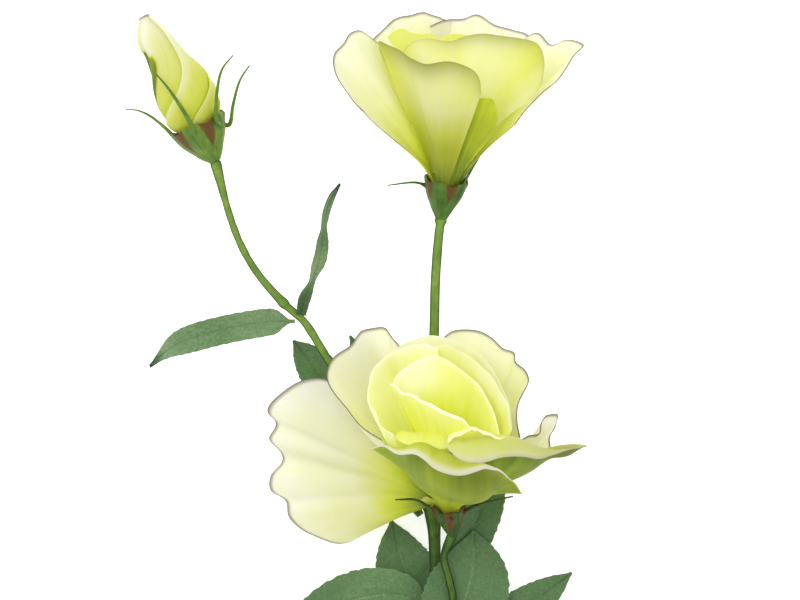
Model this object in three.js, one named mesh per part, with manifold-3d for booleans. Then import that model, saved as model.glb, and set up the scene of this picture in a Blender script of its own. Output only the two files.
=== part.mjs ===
// A cut spray of double lisianthus, laid down on a table: one stem that carries a half open bloom at its
// top, a branch with a bud, a stalk with a wide open bloom, and the leaves. Millimetres.
// X runs across the spray, Y along the stem towards the top bloom, Z up from the table.

import * as THREE from 'three';
import Module from 'manifold-3d';

const wasm = await Module();
wasm.setup();

// ---- driving dimensions ----

const PETAL = 0.7; // thickness of a petal
const BUD_PETAL = 0.6; // thickness of a petal while it is rolled up in the bud
const LEAF = 0.8; // thickness of a leaf
const GAP = 0.3; // air between pieces that touch on the plant
const THROAT_DEPTH = 4.5; // how far the petals' claws reach down into a calyx
const CLAW_WIDTH = 2.3; // width of a petal where it sits in the calyx
const CUP = { height: 12, foot: 1.6, wall: 0.7, rib: 0.35, ribs: 5, sides: 15 };
// How far down the cup, and how wide, in shares: its funnel below the floor, at the floor, half way up.
const CUP_PROFILE = [[0.85, 0.36], [0.66, 0.54], [0.43, 0.77], [0.215, 0.9]];
const SEPAL = { root: 1.1, tip: 0.36, sides: 4, steps: 4 };
const SEPAL_SEAT = { down: 0.28, share: 0.8 }; // where it leaves the cup: how far down, and at what radius
const STEM = { root: 1.75, neck: 1.3, steps: 22, sheath: 1.2 }; // radii, and how much a sheath adds
const SHEATH = { at: 0.45, reach: 0.06 }; // where leaf bases wrap the main stem, as shares of it
const BRANCH = { root: 1.2, neck: 1.05, steps: 18 };
const STALK = { root: 1.15, neck: 1.1, steps: 8 };
const STEM_SIDES = 8;
const ROWS = 5; // steps from a petal's claw to its rim
const CLAW_TO_RIM = 0.6; // where a petal leaves the calyx it has turned this far from its claw to its rim
const SWELL_FROM = 0.12; // a petal's belly, as shares of its length
const SWELL_LENGTH = 0.7;
const FINEST = 0.1; // detail smaller than this is dropped from a cut edge

const UP = new THREE.Vector3(0, 0, 1);
const point = ([x, y, z]) => new THREE.Vector3(x, y, z);
const radians = THREE.MathUtils.degToRad;

// A flower is placed by its throat, in the middle of its calyx's rim, the axis that it opens along, and
// the radius of that rim.
const bloom = (throat, axis, cup) => ({ throat: point(throat), axis: point(axis).normalize(), cup });
const TOP_BLOOM = bloom([1.9, 113.9, 18], [0.14, 0.95, 0.28], 6);
const OPEN_BLOOM = bloom([2.4, 26.4, 26], [-0.08, 0.76, 0.645], 4.4);
const BUD = bloom([-65.6, 129.1, 22.3], [-0.42, 0.9, 0.1], 8);

// ---- outlines: the rim of each petal, from its bloom's throat ----
// ring and claw place the petal's foot in the calyx: a radius, and an angle round the axis that is 0 at
// the front and 90 at the right. low is the rise and the radius where the petal leaves the calyx; high is
// the share of the way to the rim and the shift along the axis that give the petal its bend. A petal that
// flares or hangs has a waist, the line that it bends towards, and swell is how far its belly stands out.

const TOP_PETALS = [
  { name: 'back_left', ring: 2.9, claw: -145, low: [5, 3.9], high: [0.72, -1.4],
    rim: [[-23, 34, -8], [-20.2, 37.8, -10], [-17, 41, -11.5], [-14.3, 43.5, -14], [-10.5, 44.6, -16],
      [-6.2, 45.4, -17.65], [-2.4, 44.3, -17.65], [1.4, 42.7, -17]] },
  { name: 'back_right', ring: 2.9, claw: 145, low: [5, 3.9], high: [0.74, -2.1],
    rim: [[-4.6, 41.6, -15], [0, 43.5, -17], [4.1, 43.7, -17.65], [8.4, 44.8, -17.4],
      [13.5, 41.9, -16], [18.4, 40.5, -13], [21.9, 39.2, -10], [25.7, 35.4, -6]] },
  { name: 'left', ring: 2.9, claw: -80, low: [5, 3.9], high: [0.78, -3],
    rim: [[-14.3, 32.4, -9], [-18.1, 36.2, -9], [-21.3, 38.9, -8], [-23.5, 40.2, -7],
      [-26.2, 39.4, -4], [-28.1, 36.5, -1], [-30.2, 34, 3], [-30.8, 30.8, 7], [-29.4, 26.5, 11],
      [-26.2, 21.9, 13], [-22.4, 17.8, 14]] },
  { name: 'right', ring: 2.9, claw: 80, low: [5, 3.9], high: [0.72, 0],
    rim: [[19.7, 36.2, -9], [22.4, 38.9, -9], [25.1, 39.4, -7], [27.5, 36.7, -4], [29.4, 36.2, 0],
      [31.9, 37.5, 3], [34.8, 37, 6], [37, 35.6, 9], [34.6, 33.5, 12], [32.4, 30.2, 15],
      [29.4, 25.9, 16], [25.1, 22.4, 17], [21.6, 18.9, 17], [18.4, 14, 15]] },
  { name: 'front_left', ring: 2.9, claw: -15, low: [5, 3.9], high: [0.8, -3.4],
    rim: [[-17, 31.9, 9], [-18.6, 36.7, 10], [-15.4, 35.4, 15], [-12.2, 33.8, 21], [-9.5, 31.6, 26],
      [-5.9, 30, 30], [-1.9, 30.5, 32], [2.2, 30.5, 32.5], [5.7, 29.2, 31], [8.4, 26.5, 28],
      [8.9, 22.4, 24]] },
  { name: 'front_right', ring: 1.6, claw: 45, low: [6, 2.4], high: [0.62, 4.4],
    rim: [[-12.4, 33.6, 9], [-10, 36.2, 11], [-5.9, 37.4, 13], [-1.9, 36.8, 14.2], [1.4, 36.8, 15],
      [4.3, 37.9, 16], [9.2, 38.6, 17.2], [14.3, 38, 18], [19.7, 37.4, 18], [23.8, 36, 18],
      [25.6, 33.2, 18], [26.3, 29.5, 18], [25.2, 25.1, 18], [22.4, 20.5, 18]] },
  { name: 'front_lobe', ring: 2.9, claw: 32, low: [5, 3.9], high: [0.8, -3.4],
    rim: [[3.2, 15.7, 16], [4.6, 19.2, 18.5], [6.5, 21.4, 20], [8.4, 21.1, 20.5], [10, 21.3, 21.5],
      [11.9, 21.1, 22], [13.2, 18.9, 21.5], [13.5, 15.9, 20], [12.4, 12.4, 17]] },
  { name: 'inner_left', ring: 1.6, claw: -110, low: [6, 2.4], high: [0.6, 5.2],
    rim: [[-16.2, 38.3, -3], [-13.8, 40.2, -5], [-11.1, 40.5, -7], [-8.4, 39.2, -9], [-5.1, 39.4, -10],
      [-1.9, 38.3, -10], [0.8, 36.5, -9]] },
  { name: 'inner_back', ring: 1.6, claw: 180, low: [8, 2.4], high: [0.55, 7.1],
    rim: [[-4.1, 36.7, -7], [-1.4, 38.1, -8], [1.6, 39.2, -8], [5.4, 38.9, -8], [10, 37.3, -6]] },
];

const OPEN_PETALS = [
  { name: 'lower_left', ring: 2, claw: -75, low: [6, 3],
    waist: [[-18.6, 19.3, 4.3], [-29.3, 15.3, -2.6], [-29.3, 3.1, -5.9], [-19.1, -5.1, -8.2],
      [-6.2, 1.2, 1.3]],
    rim: [[-30.8, 29.7, -5], [-33.5, 33.2, -8], [-39.4, 32.9, -12], [-44.3, 30.2, -14],
      [-48.9, 25.1, -16], [-47.5, 21.1, -17], [-49.4, 16.7, -18], [-45.9, 11.3, -20],
      [-48.3, 6.5, -21], [-48.6, 2.7, -22], [-44.8, -0.5, -22.5], [-43.2, -4.3, -23.5],
      [-39.4, -8.4, -25], [-34.3, -10.5, -25.85], [-28.9, -11.3, -25.85], [-23.5, -10, -24],
      [-19.2, -7.3, -20], [-14.6, -4.1, -15], [-10, -0.5, -10]] },
  { name: 'back_left', ring: 2, claw: -125, low: [6, 3], high: [0.8, -6.4],
    rim: [[-13, 41.3, -4], [-14.3, 43.5, -6], [-15.9, 45.9, -7], [-17.6, 47.2, -8], [-20.8, 47, -8],
      [-23.8, 46.2, -7], [-26.7, 42.4, -5], [-30.2, 40, -2], [-32.4, 37.3, 1], [-32.9, 34, 3],
      [-30.8, 29.7, 5], [-27.5, 25.1, 7], [-23.5, 20.8, 8], [-18.1, 17, 8]] },
  { name: 'back_right', ring: 2, claw: 150, low: [6, 3], high: [0.8, -6.4],
    rim: [[-2.4, 43.7, -11], [0.8, 46.2, -11], [4.3, 46.7, -11], [8.4, 46.2, -10], [11.9, 44.3, -8],
      [14.6, 41.6, -6], [17.6, 40.5, -4], [18.1, 38.1, -2], [20.5, 35.9, 1], [21.3, 33.2, 4],
      [19.7, 29.7, 7], [18.4, 26.2, 10], [18.1, 22.1, 12], [19.2, 17.8, 14]] },
  { name: 'front', ring: 2, claw: 0, low: [6, 3], swell: 10,
    waist: [[-18, 13, 10], [-13, 19, 16], [-7, 25, 21], [-1, 24, 22], [5, 18, 23], [11, 12, 24],
      [15, 7, 22], [18, 3, 20]],
    rim: [[-20.8, 14.9, 14], [-17.3, 15.6, 21], [-13.8, 14.2, 26], [-9.7, 14.2, 29], [-6.5, 12.6, 32],
      [-3.5, 10.4, 34], [-0.3, 9.2, 35], [3, 9, 35], [7, 9.7, 35], [10, 10.7, 34], [13, 9.8, 33],
      [15.4, 7, 31], [17.8, 5.6, 28], [19.4, 3, 25]] },
  { name: 'right', ring: 2, claw: 55, low: [6, 3], swell: 6,
    waist: [[-1, 27, 21], [7, 31, 23], [19, 30.8, 23], [28, 18, 14], [24, 16, 9]],
    rim: [[-0.8, 15.2, 26], [1.9, 12.6, 29], [5.1, 11.2, 30.5], [8.9, 11.3, 31], [13.8, 12.7, 30],
      [19.2, 13, 28], [23.8, 12.2, 26], [27.8, 13.5, 23], [32.1, 15.1, 20], [37, 15.9, 17],
      [33.2, 16.2, 13], [28.9, 15.4, 11]] },
  { name: 'right_back', ring: 2, claw: 105, low: [6, 3], high: [0.7, -8.6],
    rim: [[17, 16.7, 14], [19.7, 17.6, 12], [22.4, 18.4, 11], [24.6, 19.4, 10], [24.8, 22.1, 10],
      [26.7, 23.8, 9], [29.2, 24, 8], [28.6, 20.8, 6], [27.3, 18.1, 6], [27, 15.4, 8]] },
  { name: 'back_inner', ring: 1.2, claw: 165, low: [6, 2], high: [0.8, -2.4],
    rim: [[-15.9, 40.5, -2], [-13.5, 42.1, -3], [-10, 43.7, -4], [-5.7, 45.1, -4], [-1.6, 44.6, -3],
      [3, 43.2, -1], [7.8, 40.5, 2], [11.1, 36.7, 6], [13.8, 31.9, 10], [15.9, 26.2, 14],
      [17, 20.8, 17]] },
  { name: 'left_inner', ring: 1.2, claw: -95, low: [6, 2], high: [0.95, -12.1],
    rim: [[-14.9, 18.4, 20], [-18.1, 21.1, 20], [-20.2, 24.6, 19], [-21.6, 28.1, 17],
      [-21.6, 32.7, 14], [-20.2, 36.2, 11], [-17.3, 39.2, 8], [-13.8, 41.3, 5], [-10, 42.4, 4],
      [-6.2, 42.7, 4], [-3, 41.6, 5]] },
  { name: 'right_inner', ring: 1.2, claw: 95, low: [6, 2], high: [0.85, -5],
    rim: [[-5.7, 41, 0], [-1.4, 42.7, 3], [3, 40.8, 7], [6.8, 38.6, 10], [10, 35.4, 13],
      [13, 31.6, 17], [15.1, 27.5, 20], [16.2, 23.8, 22], [16.5, 20, 23]] },
  { name: 'heart_back', ring: 0.55, claw: 180, low: [7, 1.3], high: [0.8, -4.4],
    rim: [[-15.7, 31.9, 19], [-13.8, 34.6, 17], [-10.3, 37.5, 15], [-6.8, 39.2, 13], [-3.5, 39.7, 12],
      [-0.8, 38.6, 11.5], [2.6, 36.6, 12], [6, 33.6, 14], [9, 30, 17], [11.4, 26, 20],
      [12.8, 22, 22], [13.2, 18.6, 23]] },
  { name: 'heart_front', ring: 0.55, claw: 0, low: [7, 1.3],
    waist: [[-12, 26, 13], [-3.5, 22, 20], [6, 22, 20]],
    rim: [[-15.7, 32.4, 21], [-13.2, 30.5, 25], [-10, 29.2, 28], [-6.2, 27.5, 30.5], [-2.4, 25.4, 32],
      [1.6, 23.8, 33], [4.6, 21.9, 33.5], [6.8, 19.4, 33]] },
  { name: 'heart_right', ring: 1.2, claw: 45, low: [7, 2],
    waist: [[-0.5, 24, 14], [6, 24.5, 14], [13, 23, 12]],
    rim: [[-0.5, 16.5, 27], [1.9, 18.4, 29.5], [4.3, 19.4, 31], [6.8, 20, 31.5], [9.2, 19.2, 31],
      [11.1, 18.1, 29], [13.8, 17.6, 27], [16.7, 17.6, 24]] },
  { name: 'front_inner', ring: 1.2, claw: -20, low: [6, 2],
    waist: [[-12, 26, 7], [-6, 30, 11], [0, 30, 13], [4, 26, 14]],
    rim: [[-14.5, 17.5, 16], [-11.5, 16, 18.6], [-8.5, 15.2, 20.8], [-5.5, 14.9, 22.4], [-2.5, 14.9, 23.6],
      [0.5, 15, 24], [3, 15.2, 23.6], [5, 15.8, 22.4]] },
];

// ---- the bud, the stems, the sepals and the leaves, in the spray's own frame ----

const BUD_PETALS = 4;
const BUD_COLUMNS = 5; // steps round one of its petals
const BUD_ROWS = 7; // steps from its foot to its tip
const BUD_LENGTH = 32; // from its throat to its tip
const BUD_WRAP = 150; // degrees that one petal reaches round the bud
const BUD_TURN = [-50, -25, 25, 70, 100, 115, 125, 130]; // degrees that the petals turn, from foot to tip
const BUD_LAYERS = 1.8; // how far a petal's inner edge lies under its outer edge
// How far it leans to its left, from its foot to its tip.
const BUD_LEAN = [0, -0.1, -0.3, -0.5, -0.2, 0.4, 1.2, 0.8];
const BUD_RADII = [2.7, 7, 8.5, 7.6, 6.4, 5.2, 4.4, 1.4]; // from its foot to its tip

const MAIN_PATH = [[1.6, -70.2, 1.75], [0.4, -40, 3.6], [-0.5, -12, 6.4], [-1.2, 8, 8], [-1.7, 21.6, 9],
  [-2.8, 34, 9.6], [-2.7, 48.6, 10.5], [-1.6, 70.2, 12], [-1.2, 86.4, 13.6], [-0.3, 98.5, 14.9]];
const BRANCH_PATH = [[-1.7, 21.6, 9], [-12, 39.2, 10], [-21.6, 52.7, 12], [-30.2, 64.8, 14],
  [-36.7, 75.1, 16], [-42.2, 80.1, 17.6], [-49.4, 88.4, 19.6], [-53.8, 96, 20.6], [-57, 104.6, 21]];
const STALK_PATH = [[2, -12.5, 6.2], [3.4, -6, 11], [3.5, 0.5, 13.6], [2.3, 6.2, 15], [1.1, 11.5, 16.6]];

const TOP_SEPALS = [
  { angle: -90, path: [[-8.1, -1.2, -0.5], [-16.2, -1.9, -1.5]] },
  { angle: -18, path: [[-3.6, 1.4, 6.2]] },
  { angle: 54, path: [[6, 1.6, 4.6]] },
  { angle: 126, path: [[7, 3, -7.4], [10, 8, -12.6]] },
  { angle: 198, path: [[-2.4, 2, -8.6], [-5.6, 7, -14.2]] },
];
const OPEN_SEPALS = [
  { angle: -72, path: [[-8.4, 0.7, 2.2], [-14.6, 0.9, 3.4]] },
  { angle: 0, path: [[1.2, -4.4, 5.4]] },
  { angle: 72, path: [[8.4, -0.2, 4.6], [17.3, 1.9, 6.2]] },
  { angle: 144, path: [[6, 6.6, -6.4], [8, 12.4, -9.4]] },
  { angle: 216, path: [[-6, 7.2, -6.6], [-8, 13.4, -8.8]] },
];
const BUD_SEPALS = [
  { angle: -90, path: [[-8.6, -1.6, 1], [-12.7, 1.6, 1.6], [-15.9, 3, 1.9], [-19.2, 3.3, 2]] },
  { angle: -18, path: [[-1.4, -0.8, 8.9], [-4.6, 4.6, 9.9], [-7.8, 9.2, 9.8], [-10.8, 12.7, 9]] },
  { angle: 54, path: [[5.4, 0.5, 7.4], [5.7, 8.6, 7.7], [7, 14, 7.8], [10, 17.8, 7.8]] },
  { angle: 126, path: [[8.6, -0.8, -3.2], [9.7, 4.6, -3.4], [11.6, 11.3, -2.8], [14.3, 15.4, -2]] },
  { angle: 198, path: [[-2.4, 0.9, -9.6], [-4.5, 8.5, -10.4], [-7.5, 14.5, -11.6]] },
];

const LEAF_COLUMNS = 4;
const LEAF_ROWS = 14;
const LEAF_TOOTH = 0.05; // how deep the edge is notched, as a share of the half width
const WAVES = 2.5; // waves along a leaf's edge
const LEAF_SHAPE = [0.16, 0.5, 0.8, 0.97, 1, 0.93, 0.75, 0.45, 0.05]; // half widths from base to tip

const LEAVES = [
  { name: 'branch_left_leaf', half: 3.9, fold: 8, wave: 0.5, turn: [10, 5, 0, 5, 55],
    shape: [0.14, 0.2, 0.78, 0.95, 0.99, 1, 1, 1, 1, 0.98, 0.93, 0.82, 0.6, 0.32, 0.14],
    midrib: [[-39.2, 75.2, 17], [-44, 75.2, 17.5], [-54, 73.8, 16.5], [-64.8, 71.3, 13], [-72, 68.6, 9.5],
      [-78.8, 62.9, 6]] },
  { name: 'branch_twisted_leaf', half: 3.4, fold: 10, wave: 0.3, turn: [20, 40, 78, 55, 62, 82, 68, 66, 75],
    shape: [0.4, 0.62, 0.8, 0.97, 1, 0.93, 0.8, 0.6, 0.2],
    midrib: [[-37.6, 76.9, 18], [-36.6, 82, 19], [-34.5, 87.4, 20.5], [-32.6, 93, 21.5], [-32, 98.6, 22],
      [-31.4, 103.4, 22.2], [-29.6, 108.6, 22], [-27, 112.4, 21.4]] },
  { name: 'leaf_behind_branch', half: 6.4, fold: 12, wave: 0.6, turn: [10, 8, 6],
    midrib: [[-5.2, 22.5, 7.8], [-15, 37, 6.2], [-28.4, 55.4, 6.6], [-35.2, 64.4, 6.8], [-39.8, 70, 5.6]] },
  { name: 'leaf_behind_bloom', half: 5, fold: 12, wave: 0.5, turn: [-10, -8, -6],
    midrib: [[-5.6, 30, 10], [-10.8, 44, 11.5], [-18.9, 60.6, 12.6], [-24.4, 71.4, 12.4]] },
  { name: 'leaf_behind_stalk', half: 6.4, fold: 20, wave: 0.6, turn: [0, 10, 5],
    midrib: [[1.4, -2, 8], [6, 11, 9], [10, 22, 10.5], [13.6, 33, 12], [16, 41, 12.6]] },
  { name: 'front_leaf', half: 11.6, fold: 8, wave: 0.8, turn: [5, 0, -5],
    midrib: [[1.2, -17.6, 7.9], [4.9, -5.4, 10.8], [8.8, 7, 11.6], [9.4, 18.6, 11]] },
  { name: 'upper_left_leaf', half: 8.8, fold: 8, wave: 0.5, turn: [0, 0, 4],
    midrib: [[-1.9, -6, 5], [-6.2, 1.4, 3], [-10.2, 10, 3], [-13.2, 21, 2.6]] },
  { name: 'lower_left_leaf', half: 8, fold: 10, wave: 0.8, turn: [5, 0, 0, 10],
    midrib: [[-2.2, -4, 8.6], [-10.8, 0.8, 9.4], [-23, -0.4, 8.6], [-35, -6.8, 6], [-43.7, -14.8, 3.2]] },
  { name: 'right_leaf', half: 6, fold: 14, wave: 0.6, turn: [-5, 0, 0, 5],
    midrib: [[2, -15, 5.8], [13.5, -8.6, 8.4], [25.6, -0.6, 9], [35.9, 7, 6.8]] },
];

// ---- solids ----

// A closed solid from its corners and its triangles.
function solid(corners, triangles) {
  const mesh = new wasm.Mesh({
    numProp: 3,
    vertProperties: new Float32Array(corners.flatMap((corner) => corner.toArray())),
    triVerts: new Uint32Array(triangles.flat()),
  });
  mesh.merge();
  return new wasm.Manifold(mesh);
}

// A thin plate that follows surface(u, v), grown by extra all round: both faces are split alike, and a
// wall closes the edge.
function plate(surface, columns, rows, thickness, extra) {
  const front = [];
  const back = [];
  const half = thickness / 2 + extra;
  for (let row = 0; row <= rows; row += 1) {
    for (let column = 0; column <= columns; column += 1) {
      const { place, normal, across, along } = tangentPlane(surface, column / columns, row / rows);
      place.addScaledVector(across, extra * outside(column, columns))
        .addScaledVector(along, extra * outside(row, rows));
      front.push(place.clone().addScaledVector(normal, half));
      back.push(place.clone().addScaledVector(normal, -half));
    }
  }
  const faces = [];
  const width = columns + 1;
  const under = front.length;
  for (let row = 0; row < rows; row += 1) {
    for (let column = 0; column < columns; column += 1) {
      const a = row * width + column;
      const [b, c, d] = [a + 1, a + width + 1, a + width];
      faces.push([a, b, c], [a, c, d], [under + c, under + b, under + a], [under + d, under + c, under + a]);
    }
  }
  const edge = border(columns, rows);
  edge.forEach((from, index) => {
    const to = edge[(index + 1) % edge.length];
    faces.push([to, from, under + from], [to, under + from, under + to]);
  });
  return solid([...front, ...back], faces);
}

// -1 on the first line of a grid, 1 on its last line, 0 between them.
const outside = (line, last) => (line === last) - (line === 0);

// The indices round the edge of a grid, turning from the first column to the last.
function border(columns, rows) {
  const width = columns + 1;
  const edge = [];
  for (let column = 0; column < columns; column += 1) edge.push(column);
  for (let row = 0; row < rows; row += 1) edge.push(row * width + columns);
  for (let column = columns; column > 0; column -= 1) edge.push(rows * width + column);
  for (let row = rows; row > 0; row -= 1) edge.push(row * width);
  return edge;
}

// The place, the directions and the normal of surface(u, v), by a small step each way.
function tangentPlane(surface, u, v) {
  const step = 1e-3;
  const [left, right] = [Math.max(0, u - step), Math.min(1, u + step)];
  const [low, high] = [Math.max(0, v - step), Math.min(1, v + step)];
  const across = surface(right, v).sub(surface(left, v)).normalize();
  const along = surface(u, high).sub(surface(u, low)).normalize();
  return { place: surface(u, v), normal: across.clone().cross(along).normalize(), across, along };
}

// A closed round solid: rings of corners, and a pole in the middle of the first ring and of the last.
function rings(list) {
  const sides = list[0].length;
  const last = (list.length - 1) * sides;
  const corners = [...list.flat(), middleOf(list[0]), middleOf(list[list.length - 1])];
  const [bottom, top] = [corners.length - 2, corners.length - 1];
  const faces = [];
  for (let side = 0; side < sides; side += 1) {
    const next = (side + 1) % sides;
    faces.push([bottom, next, side], [top, last + side, last + next]);
    for (let start = 0; start < last; start += sides) {
      const [a, b] = [start + side, start + next];
      faces.push([a, b, b + sides], [a, b + sides, a + sides]);
    }
  }
  return solid(corners, faces);
}

const middleOf = (corners) => corners.reduce((sum, corner) => sum.add(corner), new THREE.Vector3())
  .divideScalar(corners.length);

// A ring of corners round a centre, across a direction; radius may change with the angle.
function ring(centre, direction, radius, sides, reference = UP) {
  const across = reference.clone().addScaledVector(direction, -reference.dot(direction)).normalize();
  const beside = direction.clone().cross(across);
  return Array.from({ length: sides }, (_, side) => {
    const angle = (2 * Math.PI * side) / sides;
    const reach = typeof radius === 'function' ? radius(angle) : radius;
    return centre.clone().addScaledVector(across, reach * Math.cos(angle))
      .addScaledVector(beside, reach * Math.sin(angle));
  });
}

// A round stalk along a smooth path, with a radius that changes by radiusAt(t).
function stalk(path, radiusAt, sides, steps, reference = UP) {
  return rings(Array.from({ length: steps + 1 }, (_, step) => {
    const t = step / steps;
    return ring(path.getPoint(t), path.getTangent(t), radiusAt(t), sides, reference);
  }));
}

const smooth = (points) => new THREE.CatmullRomCurve3(points.map(point), false, 'centripetal');
const mix = (from, to, share) => from + (to - from) * share;

// A number that runs smoothly through a list spaced evenly from 0 to 1.
function evenly(list, share) {
  const curve = new THREE.SplineCurve(list.map((value, index) => new THREE.Vector2(index, value)));
  return curve.getPoint(share).y;
}

// ---- petals ----

// A direction across a bloom's axis: 0 degrees faces up from the table, 90 faces the spray's right side.
function outward({ axis }, degrees) {
  const front = UP.clone().addScaledVector(axis, -UP.dot(axis)).normalize();
  return front.applyAxisAngle(axis, radians(degrees));
}

function angleOf(flower, offset) {
  const front = outward(flower, 0);
  const right = outward(flower, 90);
  return THREE.MathUtils.radToDeg(Math.atan2(offset.dot(right), offset.dot(front)));
}

const nearest = (degrees, other) => degrees - 360 * Math.round((degrees - other) / 360);

// The middle surface of a petal: u runs along its rim, v from its claw to its rim.
function petalSurface(flower, petal) {
  const rim = smooth(petal.rim);
  const { throat, axis } = flower;
  const turn = Math.sign(nearest(angleOf(flower, rim.getPoint(1)), petal.claw)
    - nearest(angleOf(flower, rim.getPoint(0)), petal.claw));
  const halfClaw = THREE.MathUtils.radToDeg(CLAW_WIDTH / 2 / petal.ring) * turn;
  const waist = petal.waist ? smooth(petal.waist) : null;
  return (u, v) => {
    const edge = rim.getPoint(u);
    const clawAngle = petal.claw + halfClaw * (2 * u - 1);
    const rimAngle = nearest(angleOf(flower, edge), petal.claw);
    const foot = outward(flower, clawAngle).multiplyScalar(petal.ring).addScaledVector(axis, -THROAT_DEPTH);
    const out = outward(flower, mix(clawAngle, rimAngle, CLAW_TO_RIM));
    const low = out.clone().multiplyScalar(petal.low[1]).addScaledVector(axis, petal.low[0]);
    const high = waist ? waist.getPoint(u)
      : edge.clone().multiplyScalar(petal.high[0]).addScaledVector(axis, petal.high[1]);
    const belly = Math.sin(Math.PI * THREE.MathUtils.clamp((v - SWELL_FROM) / SWELL_LENGTH, 0, 1)) ** 2;
    return new THREE.CubicBezierCurve3(foot, low, high, edge).getPoint(v).add(throat)
      .addScaledVector(out, (petal.swell ?? 0) * belly * Math.sin(Math.PI * u));
  };
}

// The middle surface of one of the bud's petals, rolled round the bud: u runs round it, v up to its tip.
function budPetalSurface(order) {
  const { throat, axis } = BUD;
  const side = outward(BUD, -90);
  return (u, v) => {
    const angle = order * (360 / BUD_PETALS) + (u - 0.5) * BUD_WRAP + evenly(BUD_TURN, v);
    const radius = Math.max(evenly(BUD_RADII, v) - BUD_LAYERS * u, BUD_PETAL);
    return outward(BUD, angle).multiplyScalar(radius)
      .addScaledVector(axis, mix(-THROAT_DEPTH, BUD_LENGTH, v))
      .addScaledVector(side, evenly(BUD_LEAN, v)).add(throat);
  };
}

// ---- calyxes ----

// A ribbed cup, open at its rim, and a long thin sepal rooted in each rib.
function calyx(flower, sepals, extra) {
  const { throat, axis, cup: rim } = flower;
  const firstRib = outward(flower, sepals[0].angle);
  const ribbed = (radius) => (angle) => (
    radius + extra + CUP.rib * Math.max(0, Math.cos(CUP.ribs * angle)) ** 2);
  const level = (rise, radius) => (
    ring(throat.clone().addScaledVector(axis, rise), axis, radius, CUP.sides, firstRib));
  const floor = -THROAT_DEPTH - GAP - PETAL / 2;
  const cup = rings([
    level(-CUP.height - extra, CUP.foot + extra),
    ...CUP_PROFILE.map(([down, share]) => level(-CUP.height * down, ribbed(rim * share))),
    level(extra, ribbed(rim)),
    level(extra, rim - CUP.wall - extra),
    level(floor / 2, rim * CUP_PROFILE[3][1] - CUP.wall - extra),
    level(floor + extra, rim * CUP_PROFILE[2][1] - CUP.wall - extra),
  ]);
  return sepals.reduce((body, sepal) => body.add(sepalBody(flower, sepal, extra)), cup);
}

function sepalBody(flower, sepal, extra) {
  const root = outward(flower, sepal.angle).multiplyScalar(flower.cup * SEPAL_SEAT.share)
    .addScaledVector(flower.axis, -CUP.height * SEPAL_SEAT.down);
  const path = [root, ...sepal.path.map(point)].map((place) => place.add(flower.throat).toArray());
  const radiusAt = (t) => mix(SEPAL.root, SEPAL.tip, t) + extra;
  return stalk(smooth(path), radiusAt, SEPAL.sides, SEPAL.steps, flower.axis);
}

// ---- leaves ----

// The middle surface of a leaf: u runs across it, v along its midrib.
function leafSurface(leaf) {
  const midrib = smooth(leaf.midrib);
  const fold = radians(leaf.fold);
  return (u, v) => {
    const tangent = midrib.getTangent(v);
    const flat = UP.clone().cross(tangent).normalize();
    const side = flat.applyAxisAngle(tangent, radians(evenly(leaf.turn, v)));
    const normal = tangent.clone().cross(side);
    const across = 2 * u - 1;
    const tooth = 1 + LEAF_TOOTH * Math.cos(Math.PI * LEAF_ROWS * v) * across ** 4;
    const half = leaf.half * Math.max(evenly(leaf.shape ?? LEAF_SHAPE, v), 0.04) * tooth;
    const wave = leaf.wave * Math.sin(2 * Math.PI * (WAVES * v + Math.sign(across) / 4)) * across ** 2;
    return midrib.getPoint(v).addScaledVector(side, across * half * Math.cos(fold))
      .addScaledVector(normal, Math.abs(across) * half * Math.sin(fold) + wave * Math.sin(Math.PI * v));
  };
}

// ---- the spray ----

const COLOURS = {
  petal: { color: '#e9edb0', roughness: 0.62, metalness: 0 },
  calyx: { color: '#5f8a45', roughness: 0.6, metalness: 0 },
  stem: { color: '#6f9a42', roughness: 0.5, metalness: 0 },
  leaf: { color: '#4f7c4e', roughness: 0.7, metalness: 0 },
};

const materials = Object.fromEntries(Object.entries(COLOURS)
  .map(([name, look]) => [name, new THREE.MeshStandardMaterial(look)]));
const spray = new THREE.Group();
const placed = [];

// Adds a piece. make(extra) builds it, grown by extra all over; what would touch an earlier piece is cut
// back to a gap, and only the largest body of what is left stays.
function grow(name, material, make) {
  const whole = make(0);
  const near = placed.filter(({ zone }) => boxOf(zone).intersectsBox(boxOf(whole)));
  const trimmed = near.reduce((rest, { zone }) => rest.subtract(zone), whole).simplify(FINEST);
  const clear = near.reduce((rest, { body }) => rest.subtract(body), trimmed);
  const [largest] = clear.decompose().sort((one, other) => other.volume() - one.volume());
  placed.push({ body: largest, zone: make(GAP) });
  const mesh = new THREE.Mesh(geometryOf(largest), materials[material]);
  mesh.name = name;
  spray.add(mesh);
}

function boxOf(body) {
  const { min, max } = body.boundingBox();
  return new THREE.Box3(point(min), point(max));
}

function geometryOf(body) {
  const { vertProperties, triVerts } = body.getMesh();
  const geometry = new THREE.BufferGeometry();
  geometry.setAttribute('position', new THREE.BufferAttribute(vertProperties, 3));
  geometry.setIndex(new THREE.BufferAttribute(triVerts, 1));
  geometry.computeVertexNormals();
  return geometry;
}

// Where a stem meets the foot of its flower's calyx.
const neck = ({ throat, axis }) => throat.clone().addScaledVector(axis, -CUP.height - GAP).toArray();

function growStem(name, path, flower, size) {
  const line = smooth([...path, neck(flower)]);
  const swell = (t) => (size.sheath ?? 0) * Math.exp(-(((t - SHEATH.at) / SHEATH.reach) ** 2));
  grow(name, 'stem', (extra) => (
    stalk(line, (t) => mix(size.root, size.neck, t) + swell(t) + extra, STEM_SIDES, size.steps)));
}

growStem('main_stem', MAIN_PATH, TOP_BLOOM, STEM);
growStem('bud_branch', BRANCH_PATH, BUD, BRANCH);
growStem('open_bloom_stalk', STALK_PATH, OPEN_BLOOM, STALK);

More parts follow.
